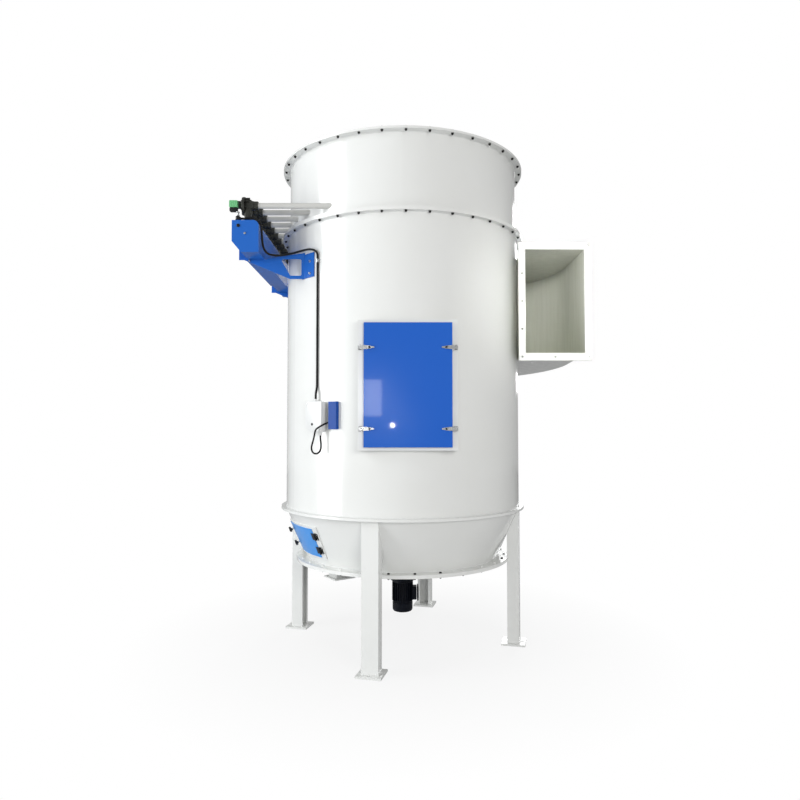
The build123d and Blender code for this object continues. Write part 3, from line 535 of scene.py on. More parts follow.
def latch(bm, dark, place):
    """Toggle latch: base plate, ears, trough lever and keeper, with a dark pin and rivets and a dark block
    under the lever, all dark as painted shade for the gaps in the latch.
    """
    length, _, sheet = LATCH_BASE
    block(bm, LATCH_BASE, place @ Matrix.Translation((length / 2, 0, sheet / 2)), 0.0008)
    for side in (-1, 1):
        block(bm, (0.019, 0.002, LEVER_LIFT - 0.001),
              place @ Matrix.Translation((PIN_X + 0.002, side * 0.0095, LEVER_LIFT / 2 + 0.0005)), 0.0006)
        lathe(dark, [(0, 0), (0.0035, 0), (0.003, 0.0015), (0, 0.0018)],
              place @ Matrix.Translation((0.0048, side * 0.0088, sheet)), 12)
    # Dark block under the lever: painted shade where the gap under the lever is.
    block(dark, (0.024, 0.016, 0.010), place @ Matrix.Translation((0.014, 0, 0.009)), 0.001)
    pin = (place @ Matrix.Translation((PIN_X, -0.013, LEVER_LIFT - 0.004))
           @ Matrix.Rotation(-math.pi / 2, 4, "X"))
    lathe(dark, [(0, 0), (0.0045, 0), (0.0045, 0.002), (0.003, 0.002), (0.003, 0.024), (0.0045, 0.024),
                 (0.0045, 0.026), (0, 0.026)], pin, 14)
    trough(bm, LEVER_SHAPE, LEVER_SHEET, LEVER_RIM, place @ Matrix.Translation((0, 0, LEVER_LIFT)))
    block(bm, (0.013, 0.016, 0.0032), place @ Matrix.Translation((0.064, 0, 0.0186)), 0.0008)


door_low, door_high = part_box("latch_bases")
latches = bmesh.new()
pivots_and_painted_shade = bmesh.new()
collar_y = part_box("door_frame")[0].y
for z in (door_low.z + LATCH_BASE[1] / 2, door_high.z - LATCH_BASE[1] / 2):
    for edge, inward in ((door_low.x, 1), (door_high.x, -1)):
        place = Matrix.Translation((edge, collar_y, z)) @ Matrix(((inward, 0, 0, 0), (0, 0, -1, 0),
                                                                  (0, inward, 0, 0), (0, 0, 0, 1)))
        latch(latches, pivots_and_painted_shade, place)
# Pins, rivets and the blocks under the levers in dark black oxide: painted shade for the gaps in the
# latches.
made_piece("latch_pivots_and_painted_shade", pivots_and_painted_shade, ring_steel)
latch_set = made_piece("toggle_latches", latches, zinc)
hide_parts("latch_bases", "latch_levers")

collar_low, collar_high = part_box("door_frame")
collar_weld = bmesh.new()
COLLAR_STEPS = 24
for z, up in ((collar_low.z, -1), (collar_high.z, 1)):
    row = []
    for k in range(COLLAR_STEPS + 1):
        x = collar_low.x + (collar_high.x - collar_low.x) * k / COLLAR_STEPS
        y = -math.sqrt(shell_r ** 2 - x ** 2)
        row.append([collar_weld.verts.new((x, y, z)), collar_weld.verts.new((x, y - WELD_LEG, z)),
                    collar_weld.verts.new((x, y - 0.0015, z + up * WELD_LEG))])
    for first, second in zip(row, row[1:]):
        for j in range(3):
            collar_weld.faces.new((first[j - 1], first[j], second[j], second[j - 1]))
    for end in (row[0], row[-1]):
        collar_weld.faces.new(end)
made_piece("collar_welds", collar_weld, painted_weld, smooth_below=60)


# A curved hatch on the cone lets a hand in over the bottom plate. It is light blue, on a white
# frame, with two moulded black hinges on one side and two three-armed black knobs on the other.
def moulded(name, colour, roughness, grain=900):
    """Moulded plastic with a fine spark-eroded grain and slight scuffs."""
    material, wire, place = surface(name, {"Specular IOR Level": 0.45})
    scuff = ramp(wire, noise(wire, place, 55, 4), (0.5, 0.0), (0.8, 1.0))
    feed(material, Base_Color=blend(wire, scuff * 0.3, colour, [0.02 + 0.9 * value for value in colour]),
         Roughness=scuff * 0.15 + roughness, Normal=bump(wire, noise(wire, place, grain, 2), 0.0002, 0.5))
    return material


HATCH_BLUE = (0.058, 0.285, 0.74)
KNOB_AZIMUTH = -75.93
KNOB_SPACING = 0.094
KNOB_LIFT = 0.0263
KNOB_THICK = 0.014
KNOB_HUB = 0.0088
KNOB_ARM = 0.0112
HATCH_MIDDLE = 0.690
CONE_MIDDLE_R = 0.69306

black_plastic = moulded("black_moulding", (0.006, 0.006, 0.007), 0.38)
finish_node("hatch_lid", enamel("hatch_enamel", HATCH_BLUE, (0.07, 0.30, 0.70), 0.18, 0.002, 0.6, 0.15))
finish_node("hatch_frame", white_enamel)
for hinge in ("hatch_hinge_bases", "hatch_hinge_flaps"):
    finish_node(hinge, black_plastic)

slope_up = Vector(frame["joints"][0]["axis"])
cone_cos = slope_up.z
cone_sin = math.sqrt(1 - cone_cos ** 2)


def cone_place(azimuth, up_slope, lift):
    """Place on the cone: X to the right, Y up the slope, Z out of it."""
    across = around(azimuth + 90, 1, 0)
    out = around(azimuth, cone_cos, -cone_sin)
    up = out.cross(across)
    origin = around(azimuth, CONE_MIDDLE_R, HATCH_MIDDLE) + up * up_slope + out * lift
    return Matrix.Translation(origin) @ Matrix((across, up, out)).transposed().to_4x4()


def rounded_prism(bm, outline, bottom, top, round_off, place):
    """Plate from a closed (x, y) outline, with its two rims rounded off."""
    rings = []
    for height, share in ((bottom, 1 - round_off * 1.2), (bottom + 0.0018, 1), (top - 0.0030, 1),
                          (top - 0.0009, 1 - round_off * 0.6), (top, 1 - round_off * 2)):
        rings.append([bm.verts.new(place @ Vector((x * share, y * share, height))) for x, y in outline])
    for low, high in zip(rings, rings[1:]):
        for k in range(len(outline)):
            bm.faces.new((low[k - 1], low[k], high[k], high[k - 1]))
    bm.faces.new(list(reversed(rings[0])))
    bm.faces.new(rings[-1])


KNOB_STEPS = 72
knob_outline = []
for k in range(KNOB_STEPS):
    turn = math.tau * k / KNOB_STEPS
    reach = KNOB_HUB + KNOB_ARM * (0.5 + 0.5 * math.cos(3 * (turn - math.pi / 2))) ** 1.5
    knob_outline.append((reach * math.cos(turn), reach * math.sin(turn)))
knobs = bmesh.new()
studs = bmesh.new()
for side in (-1, 1):
    place = cone_place(KNOB_AZIMUTH, side * KNOB_SPACING / 2, KNOB_LIFT)
    rounded_prism(knobs, knob_outline, 0, KNOB_THICK, 0.06, place)
    lathe(knobs, [(0.0075, -0.006), (0.0085, 0.0), (0, 0.0)], place, 24)
    lathe(knobs, [(0.006, KNOB_THICK - 0.0005), (0.005, KNOB_THICK + 0.0012), (0, KNOB_THICK + 0.0015)],
          place, 24)
    lathe(studs, [(0.004, -0.0145), (0.004, -0.004), (0, -0.004)], place, 14)
knob_set = made_piece("clamping_knobs", knobs, black_plastic, "hatch", 40)
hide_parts("hatch_knobs")
made_piece("knob_studs", studs, zinc, "hatch")

HINGE_SCREW_AZIMUTH = -44.49
HINGE_SPACING = 0.094
HINGE_SCREW_SPACING = 0.030
HINGE_THICK = 0.011
hinge_screws = bmesh.new()
for side in (-1, 1):
    for end in (-1, 1):
        up_slope = (side * HINGE_SPACING + end * HINGE_SCREW_SPACING) / 2
        place = cone_place(HINGE_SCREW_AZIMUTH, up_slope, HINGE_THICK)
        lathe(hinge_screws, [(0, 0), (0.0036, 0), (0.0030, 0.0013), (0, 0.0019)], place, 14)
made_piece("hinge_screws", hinge_screws, zinc)


# The inlet is a scroll of flat floor and roof sheets and a rolled outer wall, round the right-hand
# side of the shell. Its mouth is a plain flat flange drilled for the incoming duct.
def scroll_inside_tone(name, outside, colour, shade):
    """Clean enamel outside the duct; inside, a duller yellowish tone with faint runs, darker towards the
    bottom.
    """
    material, wire, place = surface(name, {"Specular IOR Level": 0.4})
    streak = wire.node("ShaderNodeMapping", {}, {"Vector": place, "Scale": (9, 9, 0.9)})
    runs = ramp(wire, noise(wire, streak, 3, 3), (0.35, 0.0), (0.75, 1.0))
    height = wire.node("ShaderNodeSeparateXYZ", {}, {0: place}, output="Z")
    # Mask that makes the inside darker towards the bottom of the scroll.
    low = ramp(wire, height - 1.6, (0.15, 1.0), (0.7, 0.0))
    from_middle = wire.node("ShaderNodeVectorMath", {"operation": "SUBTRACT"}, {0: place, 1: SCROLL_MIDDLE})
    face = wire.node("ShaderNodeNewGeometry", output="Normal")
    outward = wire.node("ShaderNodeVectorMath", {"operation": "DOT_PRODUCT"}, {0: face, 1: from_middle},
                        output="Value") > 0
    inside_tone = blend(wire, runs * 0.2 + low * 0.8, colour, shade)
    feed(material, Base_Color=blend(wire, outward, inside_tone, outside),
         Roughness=(0.35 - outward * 0.17) + runs * 0.1,
         Normal=bump(wire, noise(wire, place, 40, 2), 0.0004, 0.6))
    return material


SCROLL_MIDDLE = (0.214, 0, 2.151)
scroll_enamel = scroll_inside_tone("scroll_enamel", WHITE, (0.80, 0.81, 0.74), (0.50, 0.52, 0.42))
finish_node("inlet_flange", white_enamel)
for sheet in ("scroll_floor", "scroll_roof", "scroll_wall", "inlet_cheek"):
    finish_node(sheet, scroll_enamel)


# The air header is a pressure tank of folded and welded plate in gloss blue, on two cradle arms
# whose curved feet are bolted to the shell, with a closing shelf between them.
TANK_BLUE = (0.020, 0.125, 0.50)
TANK_BLUE_DUSTY = (0.035, 0.15, 0.48)

tank_enamel = enamel("tank_enamel", TANK_BLUE, TANK_BLUE_DUSTY, 0.18, 0.004, 0.3, 0.12)
for part in ("header_tank", "console_arms", "console_shelf"):
    finish_node(part, tank_enamel)
tank_low, tank_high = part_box("header_tank")

PLUG = (-0.952, 2.548)
PLUG_R = 0.010
END_BOLT = (-0.914, 2.503)
M6_ACROSS = 0.010
tank_plugs = bmesh.new()
tank_bolts = bmesh.new()
for end, out in ((tank_low.y, -1), (tank_high.y, 1)):
    place = facing((PLUG[0], end, PLUG[1]), (0, out, 0))
    lathe(tank_plugs, [(0, 0), (PLUG_R, 0), (PLUG_R, 0.003), (PLUG_R - 0.002, 0.004), (0.0045, 0.004),
                       (0.004, 0.0005), (0, 0.0005)], place, 24)
    hex_screw(tank_bolts, facing((END_BOLT[0], end, END_BOLT[1]), (0, out, 0)), M6_ACROSS, 0.004)
ARM_Y = 0.493
ARM_BOLT = (-0.927, 2.3855)
for side in (-1, 1):
    hex_screw(tank_bolts, facing((ARM_BOLT[0], side * ARM_Y, ARM_BOLT[1]), (0, side, 0)), M6_ACROSS, 0.005)
PAD_BOLT_AZIMUTH = -45.6
PAD_BOLT_HEIGHTS = (2.371, 2.298)
PAD_SHEET = 0.006
for mirror_y in (1, -1):
    for height in PAD_BOLT_HEIGHTS:
        spot = around(PAD_BOLT_AZIMUTH, shell_r + PAD_SHEET, height)
        out = around(PAD_BOLT_AZIMUTH, 1, 0)
        place = facing((spot.x, mirror_y * spot.y, spot.z), (out.x, mirror_y * out.y, 0))
        hex_screw(tank_bolts, place, M8_ACROSS, 0.006)
made_piece("tank_plugs", tank_plugs, black_plastic)
made_piece("console_bolts", tank_bolts, zinc)


# Eleven diaphragm valves stand on the tank, each a die-cast body with a bolted cover and a pilot
# coil, and each blows down its own white pipe into the clean-air chamber.
def die_casting(name, colour, shade):
    """Die-cast aluminium with a dark conversion coat: fine grain, and bare metal on worn edges."""
    material, wire, place = surface(name, {"Metallic": 0.55})
    patch = noise(wire, place, 45, 4)
    worn = ramp(wire, noise(wire, place, 190, 3), (0.58, 0.0), (0.75, 1.0))
    feed(material, Base_Color=blend(wire, patch * 0.5 + worn * 0.5, colour, shade),
         Roughness=patch * 0.25 + 0.3, Normal=bump(wire, noise(wire, place, 800, 3), 0.0004, 0.7))
    return material


VALVES = 11
VALVE_PITCH = 0.1226
VALVE_X = -0.909
PIPE_Z = 2.681
COVER_R = 0.050
COVER_SCREWS = 8
COVER_SCREW_CIRCLE = 0.0425
COIL_RIBS = 3
NUT_FLUTES = 12

casting = die_casting("valve_casting", (0.028, 0.030, 0.026), (0.12, 0.12, 0.105))
finish_node("blow_pipes", enamel("pipe_enamel", (0.60, 0.60, 0.58), (0.48, 0.48, 0.45), 0.3, 0.001))
tank_top = tank_high.z


def valve_body(bm):
    """One casting at the origin of its pipe's axis: X along the pipe, Z up from the tank."""
    along = facing((0, 0, 0), (1, 0, 0))
    drop = tank_top - PIPE_Z
    hex_nut = Matrix.Translation((0, 0, drop))
    lathe(bm, [(0, 0), (0.026, 0), (0.026, 0.014), (0.023, 0.017), (0, 0.017)], hex_nut, 6)
    lathe(bm, [(0.0185, 0.015), (0.0185, 0.030), (0.022, 0.040), (0.026, 0.058), (0.026, 0.084)],
          hex_nut, 28)
    lathe(bm, [(0, -0.012), (0.030, -0.012), (0.0325, -0.006), (0.033, 0.010), (0.031, 0.022),
               (0.027, 0.030), (0.027, 0.036), (0, 0.036)], along, 36)
    lathe(bm, [(0, -0.026), (COVER_R - 0.001, -0.026), (COVER_R, -0.025), (COVER_R, -0.0145),
               (COVER_R - 0.001, -0.0135), (0, -0.0135)], along, 48)
    lathe(bm, [(0, -0.0405), (0.020, -0.0405), (0.029, -0.0385), (0.0335, -0.034), (0.0345, -0.0285),
               (COVER_R - 0.0015, -0.0285), (COVER_R - 0.0008, -0.0275), (COVER_R - 0.0008, -0.0262),
               (0, -0.0262)], along, 48)
    for k in range(COVER_SCREWS):
        turn = math.tau * (k + 0.5) / COVER_SCREWS
        spot = Vector((-0.0285, COVER_SCREW_CIRCLE * math.cos(turn), COVER_SCREW_CIRCLE * math.sin(turn)))
        hex_screw(bm, facing(spot, (-1, 0, 0)), 0.008, 0.004)
        rib = Matrix.Rotation(turn, 4, "X") @ Matrix.Translation((0.001, 0.0375, 0))
        block(bm, (0.028, 0.017, 0.0035), rib, 0.0008, 1)
    for k in range(COIL_RIBS):
        rib = Matrix.Rotation(math.tau * k / COIL_RIBS, 4, "X") @ Matrix.Translation((-0.037, 0.020, 0))
        block(bm, (0.007, 0.022, 0.0035), rib, 0.0008, 1)
    block(bm, (0.026, 0.030, 0.030), Matrix.Translation((-0.0525, 0, 0)), 0.003, 3)
    block(bm, (0.017, 0.021, 0.013), Matrix.Translation((-0.0525, 0, 0.0205)), 0.002, 2)
    lathe(bm, [(0, -0.0655), (0.0055, -0.0655), (0.006, -0.0645), (0.006, -0.060)], along, 16)
    for k in range(NUT_FLUTES):
        grip = Matrix.Rotation(math.tau * k / NUT_FLUTES, 4, "X") @ Matrix.Translation((0.048, 0.0235, 0))
        block(bm, (0.022, 0.004, 0.0055), grip, 0.0009, 1)
    lathe(bm, [(0, 0.034), (0.0235, 0.034), (0.0245, 0.036), (0.0245, 0.059), (0.022, 0.062),
               (0.0175, 0.062)], along, 32)


valve_mesh = None
for k in range(VALVES):
    y = (k - (VALVES - 1) / 2) * VALVE_PITCH
    if valve_mesh is None:
        body = bmesh.new()
        valve_body(body)
        valve = made_piece("valve_1", body, casting)
        valve_mesh = valve.data
        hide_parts("valves")
    else:
        valve = bpy.data.objects.new(f"valve_{k + 1}", valve_mesh)
        scene.collection.objects.link(valve)
    valve.location = (VALVE_X, y, PIPE_Z)
    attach(valve, "filter")


# Compressed air comes in at the near end through a black gland foot, a bright elbow and a green
# capped filter. The same foot lets the header lead out.
GREEN = (0.16, 0.50, 0.22)
BOWL_SHARE = 0.36
CAP_RIBS = 5

foot_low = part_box("header_gland")[0]
elbow_low, elbow_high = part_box("supply_elbow")
cap_low, cap_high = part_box("supply_cap")
foot_x = (elbow_low.x + elbow_high.x) / 2
foot_y = (elbow_low.y + elbow_high.y) / 2

foot = bmesh.new()
upright = Matrix.Translation((foot_x, foot_y, foot_low.z))
lathe(foot, [(0, 0), (0.0155, 0), (0.0155, 0.008), (0.0135, 0.010), (0, 0.010)], upright, 6)
lathe(foot, [(0.0125, 0.010), (0.0125, 0.023), (0.0115, 0.025), (0.0115, 0.029), (0, 0.029)], upright, 24)
lead_exit = facing((foot_x, foot_y, foot_low.z + 0.014), (1, 0, 0))
lathe(foot, [(0, 0.004), (0.0105, 0.004), (0.0105, 0.015), (0.0095, 0.0175), (0.0072, 0.018), (0, 0.018)],
      lead_exit, 20)
gland_foot = made_piece("gland_foot", foot, black_plastic)
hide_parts("header_gland")

elbow = bmesh.new()
rise = Matrix.Translation((foot_x, foot_y, elbow_low.z))
lathe(elbow, [(0, 0), (0.0098, 0), (0.0098, 0.006), (0.008, 0.008), (0.0068, 0.009), (0.0068, 0.016),
              (0.0098, 0.018), (0.0098, 0.025), (0, 0.025)], rise, 24)
elbow_piece = made_piece("bright_elbow", elbow, zinc)
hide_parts("supply_elbow")

cap_middle = (cap_low + cap_high) / 2
cap_size = cap_high - cap_low
bowl = bmesh.new()
block(bowl, (cap_size.x * 0.9, cap_size.y * 0.9, cap_size.z * BOWL_SHARE),
      Matrix.Translation((cap_middle.x, cap_middle.y, cap_low.z + cap_size.z * BOWL_SHARE / 2)), 0.006, 3)
dark_bowl = made_piece("filter_bowl", bowl, black_plastic)
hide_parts("supply_cap")
cap = bmesh.new()
cap_height = cap_size.z * (1 - BOWL_SHARE)
block(cap, (cap_size.x - 0.002, cap_size.y - 0.002, cap_height),
      Matrix.Translation((cap_middle.x, cap_middle.y, cap_high.z - cap_height / 2)), 0.005, 3)
for k in range(CAP_RIBS):
    x = cap_low.x + cap_size.x * (k + 0.5) / CAP_RIBS
    block(cap, (0.004, cap_size.y, cap_height * 0.8),
          Matrix.Translation((x, cap_middle.y, cap_high.z - cap_height / 2)), 0.001, 2)
made_piece("filter_cap", cap, moulded("green_moulding", GREEN, 0.3))


# The control box is a light moulded housing with one large rounded corner, on a stand-off beside a
# short blue channel. A screwed lid, a sealing plug and two glands show on it.
BOX_AZIMUTH = -39.75
BOX_FACE = 0.811
BOX_BACK = 0.776
BOX_HALF = 0.0665
BOX_BIG_CORNER = 0.050
BOX_CORNER = 0.008
LID_OVERLAP = 1.012
box_low, box_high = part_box("control_box")

grey_moulding = moulded("grey_moulding", (0.70, 0.71, 0.71), 0.28)
rail_enamel = enamel("rail_enamel", (0.008, 0.060, 0.30), (0.012, 0.07, 0.30), 0.3, 0.001, 0.3, 0.1)
finish_node("control_rail", rail_enamel)


def shell_place(azimuth, radius, height):
    """Place on the shell: X to the right, Y up, Z outwards."""
    across = around(azimuth + 90, 1, 0)
    out = around(azimuth, 1, 0)
    turned = Matrix((across, (0, 0, 1), out)).transposed().to_4x4()
    return Matrix.Translation(around(azimuth, radius, height)) @ turned


def corner_arc(x, y, radius, start):
    """Quarter circle of points about a corner's centre."""
    return [(x + radius * math.cos(math.radians(start + step * 15)),
             y + radius * math.sin(math.radians(start + step * 15))) for step in range(7)]


half_height = (box_high.z - box_low.z) / 2
box_outline = (corner_arc(BOX_HALF - BOX_CORNER, half_height - BOX_CORNER, BOX_CORNER, 0)
               + corner_arc(BOX_CORNER - BOX_HALF, half_height - BOX_CORNER, BOX_CORNER, 90)
               + corner_arc(BOX_BIG_CORNER - BOX_HALF, BOX_BIG_CORNER - half_height, BOX_BIG_CORNER, 180)
               + corner_arc(BOX_HALF - BOX_CORNER, BOX_CORNER - half_height, BOX_CORNER, 270))
box_centre = shell_place(BOX_AZIMUTH, BOX_BACK, (box_low.z + box_high.z) / 2)
housing = bmesh.new()
depth = BOX_FACE - BOX_BACK
rounded_prism(housing, box_outline, 0, depth * 0.62, 0.008, box_centre)
lid_outline = [(x * LID_OVERLAP, y * LID_OVERLAP) for x, y in box_outline]
rounded_prism(housing, lid_outline, depth * 0.66, depth, 0.02, box_centre)
block(housing, (0.066, 0.114, 0.008), box_centre @ Matrix.Translation((0, 0, -0.0038)), 0.001)
housing_piece = made_piece("box_housing", housing, grey_moulding, smooth_below=40)
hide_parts("control_box")

BOX_SCREWS = ((-0.052, 0.072), (0.052, 0.072), (0.052, -0.072))
SCREW_R = 0.0042
SEAL_PLUG = (-0.009, -0.045)
SEAL_PLUG_R = 0.0075
box_screws = bmesh.new()
for x, y in BOX_SCREWS:
    lathe(box_screws, [(0, 0), (SCREW_R, 0), (SCREW_R, 0.001), (SCREW_R * 0.6, 0.0022), (0, 0.0024)],
          box_centre @ Matrix.Translation((x, y, depth)), 18)
made_piece("lid_screws", box_screws, zinc)
plug = bmesh.new()
lathe(plug, [(0, 0), (SEAL_PLUG_R, 0), (SEAL_PLUG_R, 0.0015), (SEAL_PLUG_R * 0.7, 0.003), (0, 0.0032)],
      box_centre @ Matrix.Translation((*SEAL_PLUG, depth)), 24)
made_piece("sealing_plug", plug, black_plastic)

glands = bmesh.new()
GLANDS = ((-0.0049, BOX_BACK + 0.011, box_high.z, 1, 0.015),
          (0.0501, BOX_BACK + 0.0239, box_low.z, -1, 0.022))
for shift, radius, height, up, length in GLANDS:
    spot = shell_place(BOX_AZIMUTH, radius, height) @ Vector((shift, 0, 0))
    stand = facing(spot, (0, 0, up))
    lathe(glands, [(0, 0), (0.0115, 0), (0.0115, length * 0.3), (0.0105, length * 0.36), (0, length * 0.36)],
          stand, 6)
    lathe(glands, [(0.0098, length * 0.3), (0.0098, length * 0.72), (0.0085, length * 0.92),
                   (0.0068, length), (0, length)], stand, 24)
gland_set = made_piece("box_gland_nuts", glands, grey_moulding)
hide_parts("box_glands")

CLIP_AZIMUTH = -40.3
CLIP_SHEET = 0.0015
ARCH_R = 0.0082
ARCH_MIDDLE = 0.0072
clip_low, clip_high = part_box("lead_clip")
saddle = bmesh.new()
clip_centre = shell_place(CLIP_AZIMUTH, shell_r, (clip_low.z + clip_high.z) / 2)
arch = [(-0.020, 0.0006), (-0.0092, 0.0006)]
for k in range(13):
    turn = math.radians(180 - 15 * k)
    arch.append((ARCH_R * math.cos(turn), ARCH_MIDDLE + ARCH_R * math.sin(turn)))
arch += [(0.0092, 0.0006), (0.020, 0.0006)]
strips = []
for offset in (0, CLIP_SHEET):
    for along in (-0.010, 0.010):
        strip = []
        for x, out in arch:
            widened = offset * 0.9 * x / ARCH_R if abs(x) < ARCH_R + 0.0003 else 0
            strip.append(saddle.verts.new(clip_centre @ Vector((x + widened, along, out + offset))))
        strips.append(strip)
inner_low, inner_high, outer_low, outer_high = strips
for first, second in ((inner_low, inner_high), (inner_high, outer_high), (outer_high, outer_low),
                      (outer_low, inner_low)):
    for k in range(len(arch) - 1):
        saddle.faces.new((first[k], first[k + 1], second[k + 1], second[k]))
for k in (0, -1):
    saddle.faces.new((inner_low[k], inner_high[k], outer_high[k], outer_low[k]))
for side in (-1, 1):
    lathe(saddle, [(0, 0), (0.0035, 0), (0.0028, 0.0015), (0, 0.002)],
          clip_centre @ Matrix.Translation((side * 0.0148, 0, CLIP_SHEET)), 14)
clip_piece = made_piece("saddle_clip", saddle, zinc)
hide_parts("lead_clip")


# A gear motor hangs under the bottom plate and turns the scraper. Castings in dark navy enamel:
# a flanged gearbox, a finned motor with a fan cowl, and a terminal box on its right.
def navy_casting(name, colour):
    """Sand-cast iron and aluminium under thick dark enamel."""
    material, wire, place = surface(name, {"Specular IOR Level": 0.15, "Coat Roughness": 0.2})
    patch = noise(wire, place, 16, 4)
    feed(material, Base_Color=blend(wire, patch * 0.5, colour, (0.008, 0.010, 0.018)),
         Roughness=patch * 0.2 + 0.32, Coat_Weight=patch * 0.1,
         Normal=bump(wire, noise(wire, place, 330, 3), 0.0006, 0.7))
    return material


navy = navy_casting("navy_casting", (0.001, 0.002, 0.005))
motor_low, motor_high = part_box("motor")
gear_low, gear_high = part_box("gearbox")

GEAR_BOLTS = 8
GEAR_FLANGE = 0.014
gearbox = bmesh.new()
top = gear_high.z
base = gear_low.z
lathe(gearbox, [(0, top), (0.1045, top), (0.105, top - 0.002), (0.105, top - 0.013),
                (0.104, top - GEAR_FLANGE), (0.078, top - GEAR_FLANGE), (0.0735, top - 0.020),
                (0.0735, base + 0.034), (0.071, base + 0.026), (0.071, base + 0.012),
                (0.0815, base + 0.011), (0.082, base + 0.009), (0.082, base + 0.001),
                (0.081, base), (0, base)], Matrix(), 64)
for k in range(GEAR_BOLTS):
    between = Matrix.Rotation(math.tau * (k + 0.5) / GEAR_BOLTS, 4, "Z")
    hex_screw(gearbox, facing(between @ Vector((0.092, 0, top - GEAR_FLANGE)), (0, 0, -1)), M8_ACROSS, 0.008)
    rib = between @ Matrix.Translation((0.076, 0, (base + top) / 2 + 0.012))
    block(gearbox, (0.012, 0.006, 0.100), rib, 0.001, 1)
    turn = Matrix.Rotation(math.tau * k / GEAR_BOLTS, 4, "Z")
    hex_screw(gearbox, facing(turn @ Vector((0.0765, 0, base + 0.011)), (0, 0, 1)), 0.008, 0.005)
gearbox_piece = made_piece("gearbox_casting", gearbox, navy)
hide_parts("gearbox")

MOTOR_FINS = 26
FIN_HEIGHT = 0.122
COWL_HEIGHT = 0.062
COWL_SLOTS = 12
motor = bmesh.new()
top = motor_high.z
base = motor_low.z
lathe(motor, [(0, top), (0.069, top), (0.070, top - 0.002), (0.070, top - 0.012), (0.0605, top - 0.015),
              (0.0605, base + COWL_HEIGHT), (0.067, base + COWL_HEIGHT - 0.002), (0.067, base + 0.020),
              (0.0655, base + 0.010), (0.060, base + 0.003), (0.052, base), (0, base)], Matrix(), 72)
for k in range(MOTOR_FINS):
    turn = Matrix.Rotation(math.tau * (k + 0.5) / MOTOR_FINS, 4, "Z")
    fin = turn @ Matrix.Translation((0.064, 0, top - 0.014 - FIN_HEIGHT / 2))
    block(motor, (0.012, 0.0026, FIN_HEIGHT), fin, 0.0008, 1)
for k in range(COWL_SLOTS):
    turn = Matrix.Rotation(math.tau * k / COWL_SLOTS, 4, "Z")
    block(motor, (0.026, 0.005, 0.0016), turn @ Matrix.Translation((0.034, 0, base - 0.0004)), 0.0006, 1)
motor_piece = made_piece("finned_motor", motor, navy)
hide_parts("motor")

term_low, term_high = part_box("terminal_box")
term_size = term_high - term_low
term_middle = (term_low + term_high) / 2
TERMINAL_LID = 0.010
LID_SCREW_INSET = 0.009
terminal = bmesh.new()
block(terminal, (0.032, term_size.y * 0.9, term_size.z * 0.9),
      Matrix.Translation((0.077, 0, term_middle.z)), 0.004, 3)
block(terminal, (TERMINAL_LID, term_size.y, term_size.z),
      Matrix.Translation((term_high.x - TERMINAL_LID / 2, 0, term_middle.z)), 0.003, 3)
for side in (-1, 1):
    for level in (-1, 1):
        spot = (term_high.x, side * (term_size.y / 2 - LID_SCREW_INSET),
                term_middle.z + level * (term_size.z / 2 - LID_SCREW_INSET))
        lathe(terminal, [(0, -0.001), (0.0038, -0.001), (0.0038, 0), (0, 0)], facing(spot, (1, 0, 0)), 14)
terminal_piece = made_piece("terminal_housing", terminal, navy)
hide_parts("terminal_box")


# The dust leaves by a short square spout with a drilled flange, welded into the bottom plate near
# its rim.
finish_node("dust_spout", white_enamel)


# Stage: a pale floor that fades into the white surround, daylight from the left, a fill in front, one
# behind and one for the inlet, and two small lamps near the lens whose reflections show in the door.
FLOOR_HALF = 14.0
FLOOR_SHADE = 0.55
floor_mesh = bpy.data.meshes.new("floor")
floor_corners = [(x * FLOOR_HALF, y * FLOOR_HALF, 0) for x, y in ((-1, -1), (1, -1), (1, 1), (-1, 1))]
floor_mesh.from_pydata(floor_corners, [], [(0, 1, 2, 3)])
floor = bpy.data.objects.new("floor", floor_mesh)
scene.collection.objects.link(floor)
floor_material = bpy.data.materials.new("pale_floor")
floor_material.use_nodes = True
floor_mesh.materials.append(floor_material)
floor_tree = floor_material.node_tree
floor_wire = Wire(floor_tree)
floor_shader = floor_tree.nodes["Principled BSDF"]
floor_shader.inputs["Base Color"].default_value = (FLOOR_SHADE, FLOOR_SHADE, FLOOR_SHADE, 1)
floor_shader.inputs["Roughness"].default_value = 0.7
floor_place = floor_wire.node("ShaderNodeTexCoord", output="Object")
distance = floor_wire.node("ShaderNodeVectorMath", {"operation": "LENGTH"}, {0: floor_place}, output="Value")
seen = floor_wire.node("ShaderNodeLightPath", output="Is Camera Ray")
far = ramp(floor_wire, distance * 0.2, (0.10, 0.84), (0.36, 1.0)) * seen
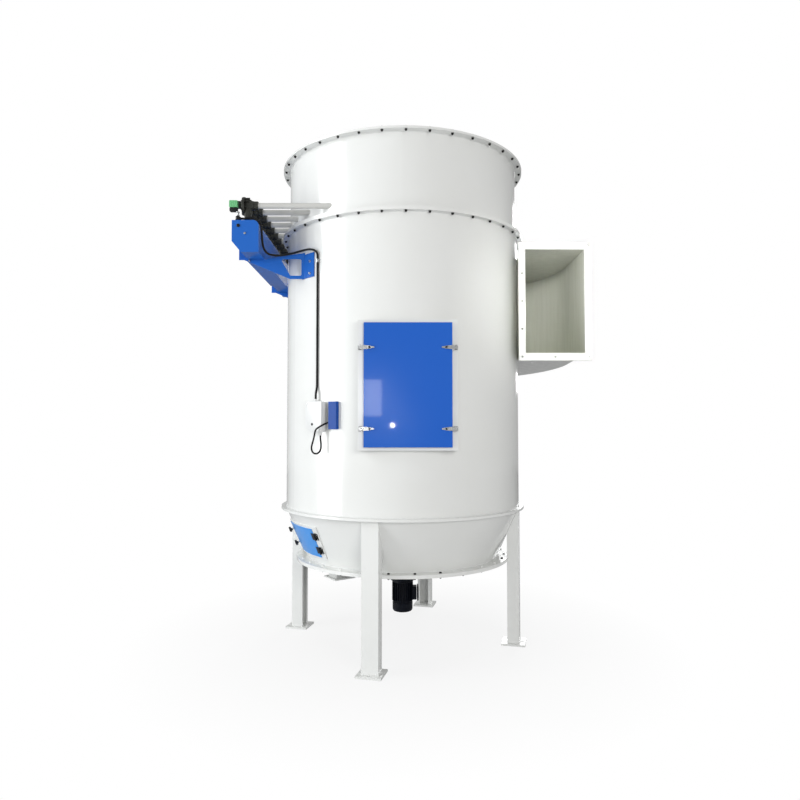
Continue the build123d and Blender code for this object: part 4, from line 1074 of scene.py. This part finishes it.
glow = floor_wire.node("ShaderNodeEmission", {}, {"Color": (1, 1, 1, 1), "Strength": 1.0})
painted = Wire(floor_tree, floor_shader.outputs[0])
mixed = floor_wire.node("ShaderNodeMixShader", {}, {0: far, 1: painted, 2: glow})
floor_tree.links.new(mixed.socket, floor_tree.nodes["Material Output"].inputs["Surface"])

world = bpy.data.worlds.new("surround")
scene.world = world
world.use_nodes = True
direct = Wire(world.node_tree).node("ShaderNodeLightPath", output="Is Camera Ray")
strength = direct * 0.60 + 0.40
sky = world.node_tree.nodes["Background"]
sky.inputs["Color"].default_value = (1, 1, 1, 1)
world.node_tree.links.new(strength.socket, sky.inputs["Strength"])


def softbox(name, place, target, size, power, colour=(1, 1, 1)):
    """Rectangular lamp at a place, turned to a target."""
    data = bpy.data.lights.new(name, "AREA")
    data.shape = "RECTANGLE"
    data.size, data.size_y = size
    data.energy = power
    data.color = colour
    lamp = bpy.data.objects.new(name, data)
    lamp.location = place
    lamp.rotation_euler = (Vector(target) - Vector(place)).to_track_quat("-Z", "Y").to_euler()
    scene.collection.objects.link(lamp)
    return lamp


softbox("left_daylight", (-4.9, -2.0, 2.6), (0, 0, 1.7), (2.6, 5.0), 232, (0.97, 0.99, 1.0))
fill = softbox("front_fill", (2.3, -6.2, 2.5), (0.2, 0, 1.8), (2.6, 2.2), 158, (1.0, 0.99, 0.97))
fill.visible_glossy = False
inlet_fill = softbox("inlet_fill", (0.30, -3.3, 2.5), (1.06, 0, 2.12), (0.3, 0.5), 1.9, (1.0, 1.0, 0.93))
inlet_fill.data.spread = math.radians(24)
inlet_fill.visible_glossy = False
softbox("rear_fill", (2.4, 6.0, 3.4), (0, 0, 1.7), (3.0, 3.0), 150, (0.98, 0.99, 1.0))
softbox("window", (-0.33, -4.39, 1.69), (-0.163, -0.817, 1.541), (0.20, 0.40), 4.0, (0.97, 0.99, 1.0))
softbox("lens_lamp", (-0.11, -4.36, 1.388), (-0.05, 0, 1.388), (0.034, 0.034), 1.5)

scene.view_settings.view_transform = "Standard"
